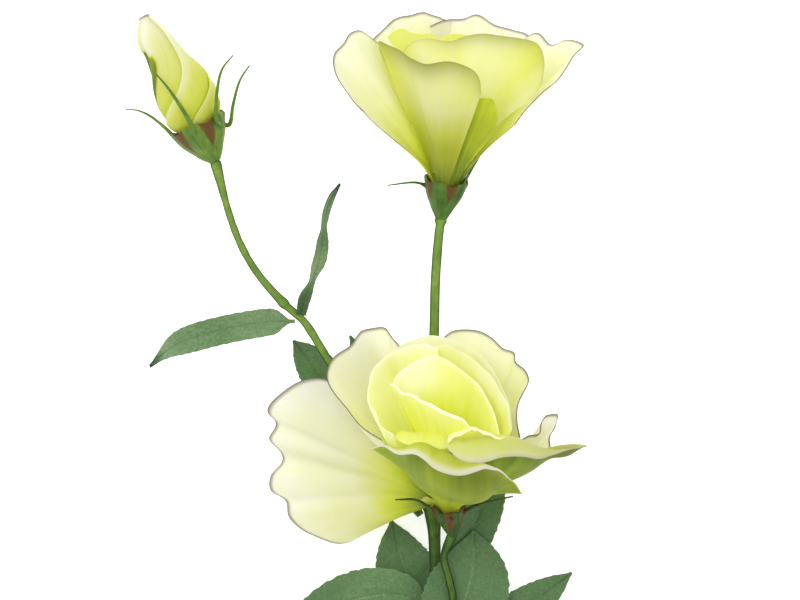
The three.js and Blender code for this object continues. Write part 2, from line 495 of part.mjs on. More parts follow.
grow('top_bloom_calyx', 'calyx', (extra) => calyx(TOP_BLOOM, TOP_SEPALS, extra));
grow('open_bloom_calyx', 'calyx', (extra) => calyx(OPEN_BLOOM, OPEN_SEPALS, extra));
grow('bud_calyx', 'calyx', (extra) => calyx(BUD, BUD_SEPALS, extra));

LEAVES.forEach((leaf) => {
  grow(leaf.name, 'leaf', (extra) => plate(leafSurface(leaf), LEAF_COLUMNS, LEAF_ROWS, LEAF, extra));
});

function growPetals(prefix, flower, petals) {
  petals.forEach((petal) => {
    const surface = petalSurface(flower, petal);
    grow(`${prefix}_${petal.name}_petal`, 'petal', (extra) => (
      plate(surface, petal.rim.length - 1, ROWS, PETAL, extra)));
  });
}

growPetals('top_bloom', TOP_BLOOM, TOP_PETALS);
growPetals('open_bloom', OPEN_BLOOM, OPEN_PETALS);
for (let order = 0; order < BUD_PETALS; order += 1) {
  grow(`bud_petal_${order + 1}`, 'petal', (extra) => (
    plate(budPetalSurface(order), BUD_COLUMNS, BUD_ROWS, BUD_PETAL, extra)));
}

// The origin is on the table, under the middle of the whole spray.
const bounds = new THREE.Box3().setFromObject(spray, true);
const middle = bounds.getCenter(new THREE.Vector3());
spray.position.set(-middle.x, -middle.y, -bounds.min.z);

export default spray;
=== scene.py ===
# %% [markdown]
# # A cut spray of lisianthus
# The spray lies on a table and the camera looks straight down on it. It has a half open bloom at the top, a
# wide open bloom in the middle, a bud on a side branch, and leaves. Its solids were made first and are the
# fixed frame: each piece below replaces one of them and keeps its place and its form, with the finer edges,
# veins and colours that the solids leave out. Blender works in metres, and the tables below are in
# millimetres, measured as the solids are.

import math

import bpy
import numpy as np
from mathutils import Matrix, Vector


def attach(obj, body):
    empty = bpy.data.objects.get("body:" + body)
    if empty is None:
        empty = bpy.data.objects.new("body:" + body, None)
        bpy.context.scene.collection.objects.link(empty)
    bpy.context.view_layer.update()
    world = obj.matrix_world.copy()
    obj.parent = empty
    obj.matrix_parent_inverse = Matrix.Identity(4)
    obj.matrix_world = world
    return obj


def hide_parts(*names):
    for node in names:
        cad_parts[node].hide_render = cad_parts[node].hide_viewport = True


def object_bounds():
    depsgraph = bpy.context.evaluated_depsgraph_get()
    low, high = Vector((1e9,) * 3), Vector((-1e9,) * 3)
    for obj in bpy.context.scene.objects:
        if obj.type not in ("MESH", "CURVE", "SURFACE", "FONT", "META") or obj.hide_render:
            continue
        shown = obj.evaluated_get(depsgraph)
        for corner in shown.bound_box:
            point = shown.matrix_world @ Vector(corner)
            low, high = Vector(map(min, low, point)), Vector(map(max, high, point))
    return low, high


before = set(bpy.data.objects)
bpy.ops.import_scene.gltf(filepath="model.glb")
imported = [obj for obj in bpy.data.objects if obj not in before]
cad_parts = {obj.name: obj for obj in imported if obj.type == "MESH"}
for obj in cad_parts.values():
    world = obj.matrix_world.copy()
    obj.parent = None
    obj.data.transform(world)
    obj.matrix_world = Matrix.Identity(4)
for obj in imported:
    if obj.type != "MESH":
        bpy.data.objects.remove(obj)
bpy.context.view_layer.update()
MM = 0.001
SHIFT = np.array([22.708, -44.544, 0.007])  # from the tables' origin to the middle of the spray's underside
print("solids:", len(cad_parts))


# %% [markdown]
# ## Curves
# A petal's rim, a leaf's midrib and a stem are each a short list of points with a smooth line through them.
# Blender's own curves can do that, but then every point on a petal would need a curve of its own. A few
# lines of arithmetic give the same smooth line for thousands of points at once: each stretch between two
# points is a cubic whose slope at its ends comes from the neighbouring points.

# %% Smooth lines through points
def stretch_of(share, count):
    """The stretch that each share of a line falls in, and how far along the stretch it is."""
    along = np.clip(share, 0, 1) * (count - 1)
    index = np.minimum(along.astype(int), count - 2)
    return index, along - index


def hermite(start, end, slope_start, slope_end, t):
    """A cubic from start to end, with a slope at each end."""
    return (start + slope_start * t + (3 * (end - start) - 2 * slope_start - slope_end) * t**2
            + (2 * (start - end) + slope_start + slope_end) * t**3)


def smooth_line(points):
    """A function that gives the points at many shares of a smooth line through a list of points."""
    knots = np.array(points, float)
    knots = np.vstack([2 * knots[0] - knots[1], knots, 2 * knots[-1] - knots[-2]])
    gaps = np.sum(np.diff(knots, axis=0)**2, axis=1)**0.25

    def at(share):
        index, t = stretch_of(np.asarray(share, float), len(points))
        p0, p1, p2, p3 = (knots[index + step] for step in range(4))
        d0, d1, d2 = (gaps[index + step][..., None] for step in range(3))
        slope_start = d1 * ((p1 - p0) / d0 - (p2 - p0) / (d0 + d1) + (p2 - p1) / d1)
        slope_end = d1 * ((p2 - p1) / d1 - (p3 - p1) / (d1 + d2) + (p3 - p2) / d2)
        return hermite(p1, p2, slope_start, slope_end, t[..., None])

    return at


def evenly(values, share):
    """Numbers that run smoothly through a list spaced evenly from 0 to 1."""
    values = np.array(values, float)
    last = len(values) - 1
    index, t = stretch_of(np.asarray(share, float), len(values))
    before, start, end, after = (values[np.clip(index + step, 0, last)] for step in (-1, 0, 1, 2))
    return hermite(start, end, (end - before) / 2, (after - start) / 2, t)


def unit(vectors):
    """Vectors of length 1."""
    vectors = np.asarray(vectors, float)
    return vectors / np.maximum(np.linalg.norm(vectors, axis=-1, keepdims=True), 1e-12)


def ease(low, high, value):
    """0 below low, 1 above high, and a soft rise between them."""
    t = np.clip((value - low) / (high - low), 0, 1)
    return t * t * (3 - 2 * t)


def waves(share, seed, count, slowest, fastest):
    """A gentle uneven wave, from a few sines whose lengths and starts are drawn from a fixed seed."""
    draw = np.random.default_rng(seed)
    total = np.zeros_like(share, float)
    for _ in range(count):
        total += np.sin(2 * np.pi * (draw.uniform(slowest, fastest) * share + draw.random()))
    return total / math.sqrt(count)


print("a smooth line's middle:", smooth_line([(0, 0, 0), (1, 2, 0), (3, 2, 1)])([0.5])[0].round(3))


# %% [markdown]
# ## Sheets and tubes
# Petals, sepals and leaves are thin sheets. By hand such a sheet starts as a grid, is pushed into shape point
# by point, and gets its thickness from Solidify. Here the grid is Blender's own primitive, a formula moves
# its points, Solidify gives it two faces and a rim, and one level of Subdivision Surface rounds the rim. The
# second face gets the second material, so a petal can be paler inside than outside.
#
# Stems and cups are round. They start from the same kind of grid, rolled into a tube whose two long edges
# are then merged.

# %% Sheets with two faces
def only(piece):
    """Selects one object, so that an operator acts on nothing else."""
    bpy.ops.object.select_all(action="DESELECT")
    piece.select_set(True)
    bpy.context.view_layer.objects.active = piece


def finish(piece, modifier):
    """Applies a modifier."""
    only(piece)
    bpy.ops.object.modifier_apply(modifier=modifier.name)


def grid_of(name, places):
    """A grid primitive whose points are moved to places[row, column], in the tables' millimetres, with u
    across its columns and v up its rows as its UV map."""
    rows, columns = places.shape[:2]
    bpy.ops.object.select_all(action="DESELECT")
    bpy.ops.mesh.primitive_grid_add(x_subdivisions=columns - 1, y_subdivisions=rows - 1, size=1)
    piece = bpy.context.object
    piece.name = piece.data.name = name
    flat = np.zeros(rows * columns * 3)
    piece.data.vertices.foreach_get("co", flat)
    flat = flat.reshape(-1, 3)
    column = np.rint((flat[:, 0] + 0.5) * (columns - 1)).astype(int)
    row = np.rint((flat[:, 1] + 0.5) * (rows - 1)).astype(int)
    placed = (places[row, column] + SHIFT) * MM
    piece.data.vertices.foreach_set("co", placed.ravel())
    paint(piece, "along", row / (rows - 1))
    paint(piece, "across", column / (columns - 1))
    piece.data.update()
    return piece, row, column


def paint(piece, name, values):
    """Keeps one number for each point, which a material can read by its name."""
    layer = piece.data.attributes.new(name, "FLOAT", "POINT")
    layer.data.foreach_set("value", np.asarray(values, np.float32).ravel())


def dress(piece, *materials):
    """Gives a piece its materials."""
    for material in materials:
        piece.data.materials.append(material)


def thicken(piece, thickness, weights):
    """Gives a sheet its thickness, in millimetres, times a weight at each point."""
    group = piece.vertex_groups.new(name="thickness")
    for index, weight in enumerate(weights):
        group.add([index], float(weight), "REPLACE")
    solid = piece.modifiers.new("thickness", "SOLIDIFY")
    solid.thickness = thickness * MM
    solid.offset = 0
    solid.vertex_group = group.name
    solid.material_offset = 1
    finish(piece, solid)
    round_off(piece)


def round_off(piece):
    """Rounds a closed piece by one level of subdivision and shades it smooth."""
    rounding = piece.modifiers.new("rounding", "SUBSURF")
    rounding.levels = rounding.render_levels = 1
    finish(piece, rounding)
    only(piece)
    bpy.ops.object.shade_smooth()


def normals_of(places):
    """The unit normals of a grid of places."""
    across = np.gradient(places, axis=1)
    along = np.gradient(places, axis=0)
    return unit(np.cross(across, along))


def settle(piece, slot, *nodes):
    """Puts a finished piece on the spray's one body, in the place of its solid."""
    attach(piece, "root")
    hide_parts(*nodes)


# %% Tubes
UP = np.array([0.0, 0.0, 1.0])
MERGE = 1e-6  # points closer than this, in metres, become one


def wrap(name, places):
    """A closed round piece from rings of places, whose last column lies on its first."""
    piece, _, _ = grid_of(name, places)
    only(piece)
    bpy.ops.object.mode_set(mode="EDIT")
    bpy.ops.mesh.select_mode(type="EDGE")
    bpy.ops.mesh.select_all(action="SELECT")
    bpy.ops.mesh.remove_doubles(threshold=MERGE)
    bpy.ops.mesh.select_all(action="DESELECT")
    bpy.ops.mesh.select_non_manifold()
    bpy.ops.mesh.edge_face_add()
    bpy.ops.mesh.select_all(action="SELECT")
    bpy.ops.mesh.normals_make_consistent(inside=False)
    bpy.ops.object.mode_set(mode="OBJECT")
    round_off(piece)
    return piece


def tube(name, centres, reach, sides, front):
    """A closed round piece. centres are the points of its middle line, in the tables' millimetres, front is
    the direction in which its first side lies, and reach(ring, angles) gives its radius all round."""
    tangents = unit(np.gradient(centres, axis=0))
    across = unit(front - np.sum(front * tangents, axis=1, keepdims=True) * tangents)
    beside = np.cross(tangents, across)
    angles = np.linspace(0, 2 * np.pi, sides + 1)
    radii = np.array([reach(ring, angles) for ring in range(len(centres))])[..., None]
    places = (centres[:, None] + radii * np.cos(angles)[None, :, None] * across[:, None]
              + radii * np.sin(angles)[None, :, None] * beside[:, None])
    return wrap(name, places)


# %% [markdown]
# ## Writing a material
# A material is a small program: numbers and colours flow from node to node into the surface shader. Placing
# dozens of nodes by hand hides that program, so here a number in it is a Python object and + - * write the
# Math nodes. Every other node comes from one method. Colours are mixed by Mix nodes, because a Math node
# would turn them grey.

# %% A number that flows through a material
class Flow:
    """An output socket of a material's node. A sum with it adds a Math node."""

    def __init__(self, socket):
        self.socket = socket

    def join(self, operation, *values):
        """A Math node on this number and others."""
        return add(self.socket.id_data, "ShaderNodeMath", {"operation": operation},
                   dict(enumerate(values)))

    def __add__(self, other):
        return self.join("ADD", self, other)

    def __sub__(self, other):
        return self.join("SUBTRACT", self, other)

    def __rsub__(self, other):
        return self.join("SUBTRACT", other, self)

    def __mul__(self, other):
        return self.join("MULTIPLY", self, other)

    __radd__ = __add__
    __rmul__ = __mul__

    def clamped(self):
        """This number held between 0 and 1."""
        return self.join("MINIMUM", self.join("MAXIMUM", self, 0.0), 1.0)


def add(tree, kind, settings=None, values=None, output=0):
    """A node of a kind. Its settings are set first, a ramp's stops among them, then the values or links of
    its sockets. Gives one of its outputs."""
    node = tree.nodes.new(kind)
    for name, value in (settings or {}).items():
        if name == "stops":
            set_stops(node.color_ramp, value)
        else:
            setattr(node, name, value)
    for name, value in (values or {}).items():
        if isinstance(value, Flow):
            tree.links.new(value.socket, node.inputs[name])
        else:
            node.inputs[name].default_value = value
    return Flow(node.outputs[output])


def set_stops(ramp, stops):
    """Sets a ramp's colours: each stop has its place, from 0 to 1, and its paint."""
    while len(ramp.elements) < len(stops):
        ramp.elements.new(1.0)
    for element, (place, colour) in zip(ramp.elements, stops):
        element.position = place
        element.color = paint_of(colour)


def paint_of(text):
    """A colour, from the way that painters' charts print it, as red, green, blue and 1 in light's units."""
    parts = [int(text[index:index + 2], 16) / 255 for index in (1, 3, 5)]
    return tuple(part / 12.92 if part <= 0.04045 else ((part + 0.055) / 1.055)**2.4
                 for part in parts) + (1.0,)


def new_material(name):
    """A material with an empty node tree."""
    material = bpy.data.materials.new(name)
    material.use_nodes = True
    material.node_tree.nodes.clear()
    return material, material.node_tree


def mixed(tree, share, start, end):
    """A colour between two colours."""
    return add(tree, "ShaderNodeMix", {"data_type": "RGBA"}, {0: share, 6: start, 7: end}, output=2)


def noise(tree, place, scale, detail=2.0, roughness=0.5):
    """A soft random pattern, from 0 to 1. A larger scale makes it finer."""
    return add(tree, "ShaderNodeTexNoise", None,
               {"Vector": place, "Scale": scale, "Detail": detail, "Roughness": roughness})


def stretched(tree, place, scales):
    """Places stretched along each axis, so that a pattern on them is longer one way than the other."""
    return add(tree, "ShaderNodeMapping", None, {"Vector": place, "Scale": scales})


def number(tree, name):
    """A number that the piece keeps at each of its points."""
    return add(tree, "ShaderNodeAttribute", {"attribute_name": name}, output=2)


def surface(tree, colour, normal, roughness, through, **constants):
    """The shader that every piece here wears: a surface, mixed with a share of light that shines through a
    thin sheet."""
    face = add(tree, "ShaderNodeBsdfPrincipled", None,
               {"Base Color": colour, "Normal": normal, "Roughness": roughness, **constants})
    if through:
        glow = add(tree, "ShaderNodeBsdfTranslucent", None, {"Color": colour, "Normal": normal})
        face = add(tree, "ShaderNodeMixShader", None, {0: through, 1: face, 2: glow})
    add_output(tree, face)


def add_output(tree, shader):
    """Joins a shader to the material's output."""
    tree.links.new(shader.socket, tree.nodes.new("ShaderNodeOutputMaterial").inputs["Surface"])


def bumped(tree, height, distance, strength):
    """A normal that makes a surface look raised by a height from 0 to 1 times a distance in millimetres."""
    return add(tree, "ShaderNodeBump", None,
               {"Strength": strength, "Distance": distance * MM, "Height": height})


# %% [markdown]
# ## Petal colours
# A petal of this lisianthus is nearly white at its rim and turns through cream to lime green down in the
# throat, and its outside is duller and greener than its inside. Soft streaks run from claw to rim. One
# colour ramp holds all of those colours in order. Each point of a petal keeps a number that says where on
# the ramp it is, one for the inside and one for the outside, and a stretched noise moves that number a
# little so that the streaks show.
#
# Light goes into a petal, wanders about and comes out again. Letting some shine through gives most of that.
# The rest is painted light: a faint glow in the petal's own colour, stronger deep in the bloom, lifts its
# shade.

# %% Petal materials
PETAL_RAMP = [(0.0, "#58711E"), (0.15, "#A0B434"), (0.32, "#D5DE3C"), (0.5, "#E8EC64"),
              (0.68, "#F0F1A6"), (0.84, "#F7F7DA"), (1.0, "#FCFBF3")]
OLIVE_AND_SHADE = paint_of("#86883F")
RIM_LINE = paint_of("#85765A")
DARK = paint_of("#000000")
STREAKS = (12.0, 1.2, 1.0)  # across a petal, and along it
FINE_VEINS = (60.0, 4.0, 1.0)
CLOUDS = 90.0
GRAIN = 2600.0
STREAK_SHIFT = 0.24  # how far streaks and clouds move a point along the ramp
CLOUD_SHIFT = 0.18
PETAL_THROUGH = 0.45  # the share of light that shines through
PETAL_PAINTED_GLOW = 0.34  # the strongest painted glow, standing for light that wanders inside a petal


def petal_material(name, tone_name, roughness):
    """One face of the petals."""
    material, tree = new_material(name)
    uv = add(tree, "ShaderNodeUVMap", {"uv_map": "UVMap"})
    place = add(tree, "ShaderNodeTexCoord", output=3)
    streaks = noise(tree, stretched(tree, uv, STREAKS), 1.0, 3.0)
    clouds = noise(tree, place, CLOUDS)
    tone = number(tree, tone_name) + (streaks - 0.5) * STREAK_SHIFT + (clouds - 0.5) * CLOUD_SHIFT
    colour = add(tree, "ShaderNodeValToRGB", {"stops": PETAL_RAMP}, {0: tone.clamped()})
    # painted shade: the olive mix darkens bands under rims that curl away or overhang, and dulls some petals'
    # own colour
    colour = mixed(tree, number(tree, "olive"), colour, OLIVE_AND_SHADE)
    colour = mixed(tree, number(tree, "rim_line"), colour, RIM_LINE)
    veins = noise(tree, stretched(tree, uv, FINE_VEINS), 1.0)
    grain = noise(tree, place, GRAIN, 1.0)
    normal = bumped(tree, veins * 0.75 + grain * 0.25, 0.15, 0.5)
    # painted light: a petal glows in its own colour as much as its glow number says, which lifts its shade
    glow = mixed(tree, number(tree, "glow"), DARK, colour)
    surface(tree, colour, normal, roughness, PETAL_THROUGH,
            **{"Emission Color": glow, "Emission Strength": PETAL_PAINTED_GLOW})
    return material


PETAL_INSIDE = petal_material("petal_inside", "inside_tone", 0.6)
PETAL_OUTSIDE = petal_material("petal_outside", "outside_tone", 0.52)
print("petal materials:", PETAL_INSIDE.name, PETAL_OUTSIDE.name)


# %% [markdown]
# ## Where the flowers are
# A flower is placed by its throat, in the middle of its calyx's rim, by the axis that it opens along, and by
# the radius of that rim. Angles round the axis are 0 at the side that faces up from the table and 90 at the
# spray's right.

# %% Throats and axes
THROAT_DEPTH = 4.5  # from the calyx's rim down to the petals' feet
CLAW_WIDTH = 2.3
CLAW_TO_RIM = 0.6  # how far a petal has turned, from its claw's angle to its rim's, over the calyx
SWELL_FROM = 0.12  # where along a petal its swell starts, and how much of the petal it takes
SWELL_LENGTH = 0.7


class Bloom:
    """A flower's place, and directions round its axis."""

    def __init__(self, throat, axis, cup):
        self.throat = np.array(throat, float)
        self.axis = unit(np.array(axis, float))
        self.cup = cup
        self.front = unit(UP - UP.dot(self.axis) * self.axis)
        self.right = np.cross(self.axis, self.front)

    def outward(self, degrees):
        """The direction away from the axis at each angle."""
        angle = np.radians(np.asarray(degrees, float))[..., None]
        return np.cos(angle) * self.front + np.sin(angle) * self.right

    def angle_of(self, offsets):
        """The angle round the axis at which each offset from the throat lies."""
        return np.degrees(np.arctan2(offsets @ self.right, offsets @ self.front))


TOP_BLOOM = Bloom((1.9, 113.9, 18), (0.14, 0.95, 0.28), 6)
OPEN_BLOOM = Bloom((2.4, 26.4, 26), (-0.08, 0.76, 0.645), 4.4)
BUD = Bloom((-65.6, 129.1, 22.3), (-0.42, 0.9, 0.1), 8)
print("throats:", [bloom.throat.tolist() for bloom in (TOP_BLOOM, OPEN_BLOOM, BUD)])

# %% [markdown]
# ## The petals' outlines
# These are the solids' own tables: the rim of each petal as points from its flower's throat, where its claw
# sits in the calyx, and what bends it: two pairs of numbers, or a waist for a petal that flares or hangs.
# Petals of one ring share how far their claws are from the flower's middle, and how they leave the calyx.

# %% The top bloom's petals
TOP_OUTER = dict(ring=2.9, low=(5, 3.9))
TOP_INNER = dict(ring=1.6, low=(6, 2.4))
TOP_PETALS = [
    dict(TOP_OUTER, name="back_left", claw=-145, high=(0.72, -1.4),
         rim=[(-23, 34, -8), (-20.2, 37.8, -10), (-17, 41, -11.5), (-14.3, 43.5, -14), (-10.5, 44.6, -16),
              (-6.2, 45.4, -17.65), (-2.4, 44.3, -17.65), (1.4, 42.7, -17)]),
    dict(TOP_OUTER, name="back_right", claw=145, high=(0.74, -2.1),
         rim=[(-4.6, 41.6, -15), (0, 43.5, -17), (4.1, 43.7, -17.65), (8.4, 44.8, -17.4),
              (13.5, 41.9, -16), (18.4, 40.5, -13), (21.9, 39.2, -10), (25.7, 35.4, -6)]),
    dict(TOP_OUTER, name="left", claw=-80, high=(0.78, -3),
         rim=[(-14.3, 32.4, -9), (-18.1, 36.2, -9), (-21.3, 38.9, -8), (-23.5, 40.2, -7),
              (-26.2, 39.4, -4), (-28.1, 36.5, -1), (-30.2, 34, 3), (-30.8, 30.8, 7), (-29.4, 26.5, 11),
              (-26.2, 21.9, 13), (-22.4, 17.8, 14)]),
    dict(TOP_OUTER, name="right", claw=80, high=(0.72, 0),
         rim=[(19.7, 36.2, -9), (22.4, 38.9, -9), (25.1, 39.4, -7), (27.5, 36.7, -4), (29.4, 36.2, 0),
              (31.9, 37.5, 3), (34.8, 37, 6), (37, 35.6, 9), (34.6, 33.5, 12), (32.4, 30.2, 15),
              (29.4, 25.9, 16), (25.1, 22.4, 17), (21.6, 18.9, 17), (18.4, 14, 15)]),
    dict(TOP_OUTER, name="front_left", claw=-15, high=(0.8, -3.4),
         rim=[(-17, 31.9, 9), (-18.6, 36.7, 10), (-15.4, 35.4, 15), (-12.2, 33.8, 21), (-9.5, 31.6, 26),
              (-5.9, 30, 30), (-1.9, 30.5, 32), (2.2, 30.5, 32.5), (5.7, 29.2, 31), (8.4, 26.5, 28),
              (8.9, 22.4, 24)]),
    dict(TOP_INNER, name="front_right", claw=45, high=(0.62, 4.4),
         rim=[(-12.4, 33.6, 9), (-10, 36.2, 11), (-5.9, 37.4, 13), (-1.9, 36.8, 14.2), (1.4, 36.8, 15),
              (4.3, 37.9, 16), (9.2, 38.6, 17.2), (14.3, 38, 18), (19.7, 37.4, 18), (23.8, 36, 18),
              (25.6, 33.2, 18), (26.3, 29.5, 18), (25.2, 25.1, 18), (22.4, 20.5, 18)]),
    dict(TOP_OUTER, name="front_lobe", claw=32, high=(0.8, -3.4),
         rim=[(3.2, 15.7, 16), (4.6, 19.2, 18.5), (6.5, 21.4, 20), (8.4, 21.1, 20.5), (10, 21.3, 21.5),
              (11.9, 21.1, 22), (13.2, 18.9, 21.5), (13.5, 15.9, 20), (12.4, 12.4, 17)]),
    dict(TOP_INNER, name="inner_left", claw=-110, high=(0.6, 5.2),
         rim=[(-16.2, 38.3, -3), (-13.8, 40.2, -5), (-11.1, 40.5, -7), (-8.4, 39.2, -9), (-5.1, 39.4, -10),
              (-1.9, 38.3, -10), (0.8, 36.5, -9)]),
    dict(name="inner_back", ring=1.6, claw=180, low=(8, 2.4), high=(0.55, 7.1),
         rim=[(-4.1, 36.7, -7), (-1.4, 38.1, -8), (1.6, 39.2, -8), (5.4, 38.9, -8), (10, 37.3, -6)]),
]

# %% The open bloom's petals
OPEN_OUTER = dict(ring=2, low=(6, 3))
OPEN_INNER = dict(ring=1.2, low=(6, 2))
HEART = dict(ring=0.55, low=(7, 1.3))
OPEN_PETALS = [
    dict(OPEN_OUTER, name="lower_left", claw=-75,
         waist=[(-18.6, 19.3, 4.3), (-29.3, 15.3, -2.6), (-29.3, 3.1, -5.9), (-19.1, -5.1, -8.2),
                (-6.2, 1.2, 1.3)],
         rim=[(-30.8, 29.7, -5), (-33.5, 33.2, -8), (-39.4, 32.9, -12), (-44.3, 30.2, -14),
              (-48.9, 25.1, -16), (-47.5, 21.1, -17), (-49.4, 16.7, -18), (-45.9, 11.3, -20),
              (-48.3, 6.5, -21), (-48.6, 2.7, -22), (-44.8, -0.5, -22.5), (-43.2, -4.3, -23.5),
              (-39.4, -8.4, -25), (-34.3, -10.5, -25.85), (-28.9, -11.3, -25.85), (-23.5, -10, -24),
              (-19.2, -7.3, -20), (-14.6, -4.1, -15), (-10, -0.5, -10)]),
    dict(OPEN_OUTER, name="back_left", claw=-125, high=(0.8, -6.4),
         rim=[(-13, 41.3, -4), (-14.3, 43.5, -6), (-15.9, 45.9, -7), (-17.6, 47.2, -8), (-20.8, 47, -8),
              (-23.8, 46.2, -7), (-26.7, 42.4, -5), (-30.2, 40, -2), (-32.4, 37.3, 1), (-32.9, 34, 3),
              (-30.8, 29.7, 5), (-27.5, 25.1, 7), (-23.5, 20.8, 8), (-18.1, 17, 8)]),
    dict(OPEN_OUTER, name="back_right", claw=150, high=(0.8, -6.4),
         rim=[(-2.4, 43.7, -11), (0.8, 46.2, -11), (4.3, 46.7, -11), (8.4, 46.2, -10), (11.9, 44.3, -8),
              (14.6, 41.6, -6), (17.6, 40.5, -4), (18.1, 38.1, -2), (20.5, 35.9, 1), (21.3, 33.2, 4),
              (19.7, 29.7, 7), (18.4, 26.2, 10), (18.1, 22.1, 12), (19.2, 17.8, 14)]),
    dict(OPEN_OUTER, name="front", claw=0, swell=10,
         waist=[(-18, 13, 10), (-13, 19, 16), (-7, 25, 21), (-1, 24, 22), (5, 18, 23), (11, 12, 24),
                (15, 7, 22), (18, 3, 20)],
         rim=[(-20.8, 14.9, 14), (-17.3, 15.6, 21), (-13.8, 14.2, 26), (-9.7, 14.2, 29), (-6.5, 12.6, 32),
              (-3.5, 10.4, 34), (-0.3, 9.2, 35), (3, 9, 35), (7, 9.7, 35), (10, 10.7, 34), (13, 9.8, 33),
              (15.4, 7, 31), (17.8, 5.6, 28), (19.4, 3, 25)]),
    dict(OPEN_OUTER, name="right", claw=55, swell=6,
         waist=[(-1, 27, 21), (7, 31, 23), (19, 30.8, 23), (28, 18, 14), (24, 16, 9)],
         rim=[(-0.8, 15.2, 26), (1.9, 12.6, 29), (5.1, 11.2, 30.5), (8.9, 11.3, 31), (13.8, 12.7, 30),
              (19.2, 13, 28), (23.8, 12.2, 26), (27.8, 13.5, 23), (32.1, 15.1, 20), (37, 15.9, 17),
              (33.2, 16.2, 13), (28.9, 15.4, 11)]),
    dict(OPEN_OUTER, name="right_back", claw=105, high=(0.7, -8.6),
         rim=[(17, 16.7, 14), (19.7, 17.6, 12), (22.4, 18.4, 11), (24.6, 19.4, 10), (24.8, 22.1, 10),
              (26.7, 23.8, 9), (29.2, 24, 8), (28.6, 20.8, 6), (27.3, 18.1, 6), (27, 15.4, 8)]),
    dict(OPEN_INNER, name="back_inner", claw=165, high=(0.8, -2.4),
         rim=[(-15.9, 40.5, -2), (-13.5, 42.1, -3), (-10, 43.7, -4), (-5.7, 45.1, -4), (-1.6, 44.6, -3),
              (3, 43.2, -1), (7.8, 40.5, 2), (11.1, 36.7, 6), (13.8, 31.9, 10), (15.9, 26.2, 14),
              (17, 20.8, 17)]),
    dict(OPEN_INNER, name="left_inner", claw=-95, high=(0.95, -12.1),
         rim=[(-14.9, 18.4, 20), (-18.1, 21.1, 20), (-20.2, 24.6, 19), (-21.6, 28.1, 17),
              (-21.6, 32.7, 14), (-20.2, 36.2, 11), (-17.3, 39.2, 8), (-13.8, 41.3, 5), (-10, 42.4, 4),
              (-6.2, 42.7, 4), (-3, 41.6, 5)]),
    dict(OPEN_INNER, name="right_inner", claw=95, high=(0.85, -5),
         rim=[(-5.7, 41, 0), (-1.4, 42.7, 3), (3, 40.8, 7), (6.8, 38.6, 10), (10, 35.4, 13),
              (13, 31.6, 17), (15.1, 27.5, 20), (16.2, 23.8, 22), (16.5, 20, 23)]),
    dict(HEART, name="heart_back", claw=180, high=(0.8, -4.4),
         rim=[(-15.7, 31.9, 19), (-13.8, 34.6, 17), (-10.3, 37.5, 15), (-6.8, 39.2, 13), (-3.5, 39.7, 12),
              (-0.8, 38.6, 11.5), (2.6, 36.6, 12), (6, 33.6, 14), (9, 30, 17), (11.4, 26, 20),
              (12.8, 22, 22), (13.2, 18.6, 23)]),
    dict(HEART, name="heart_front", claw=0,
         waist=[(-12, 26, 13), (-3.5, 22, 20), (6, 22, 20)],
         rim=[(-15.7, 32.4, 21), (-13.2, 30.5, 25), (-10, 29.2, 28), (-6.2, 27.5, 30.5), (-2.4, 25.4, 32),
              (1.6, 23.8, 33), (4.6, 21.9, 33.5), (6.8, 19.4, 33)]),
    dict(name="heart_right", ring=1.2, claw=45, low=(7, 2),
         waist=[(-0.5, 24, 14), (6, 24.5, 14), (13, 23, 12)],
         rim=[(-0.5, 16.5, 27), (1.9, 18.4, 29.5), (4.3, 19.4, 31), (6.8, 20, 31.5), (9.2, 19.2, 31),
              (11.1, 18.1, 29), (13.8, 17.6, 27), (16.7, 17.6, 24)]),
    dict(OPEN_INNER, name="front_inner", claw=-20,
         waist=[(-12, 26, 7), (-6, 30, 11), (0, 30, 13), (4, 26, 14)],
         rim=[(-14.5, 17.5, 16), (-11.5, 16, 18.6), (-8.5, 15.2, 20.8), (-5.5, 14.9, 22.4),
              (-2.5, 14.9, 23.6), (0.5, 15, 24), (3, 15.2, 23.6), (5, 15.8, 22.4)]),
]

# %% [markdown]
# ## How a petal grows
# From its claw in the calyx each line of a petal runs up, swings out and ends at the rim. A cubic Bezier
# does the same: its four points are the claw, a point just over the calyx, a point that gives the swell, and
# the rim. On that smooth form lie soft folds, a ruffle near the rim, creases where the rim is notched, and
# on some petals a rim that rolls back and shows its pale inside.

# %% A petal's form
STEPS = 5  # columns for each stretch of a rim
ROWS = 30
NEAR_RIM = (0.978, 0.992, 1.0)  # the last rows and columns lie close together, for a crisp edge
NEAR_SIDE = 0.006
ROLL_ROWS = 7
PETAL_THICKNESS = 0.5
PLAIN_LOOK = dict(folds=0.16, ruffle=0.25, creases=(), bulges=(), line=0, line_sides=(0, 0),
                  inside_spots=(), outside_spots=(), olive=(), glow=0.1)  # of which each petal changes some


def nearest(degrees, other):
    """The same angle, within half a turn of another."""
    return degrees - 360 * np.rint((degrees - other) / 360)


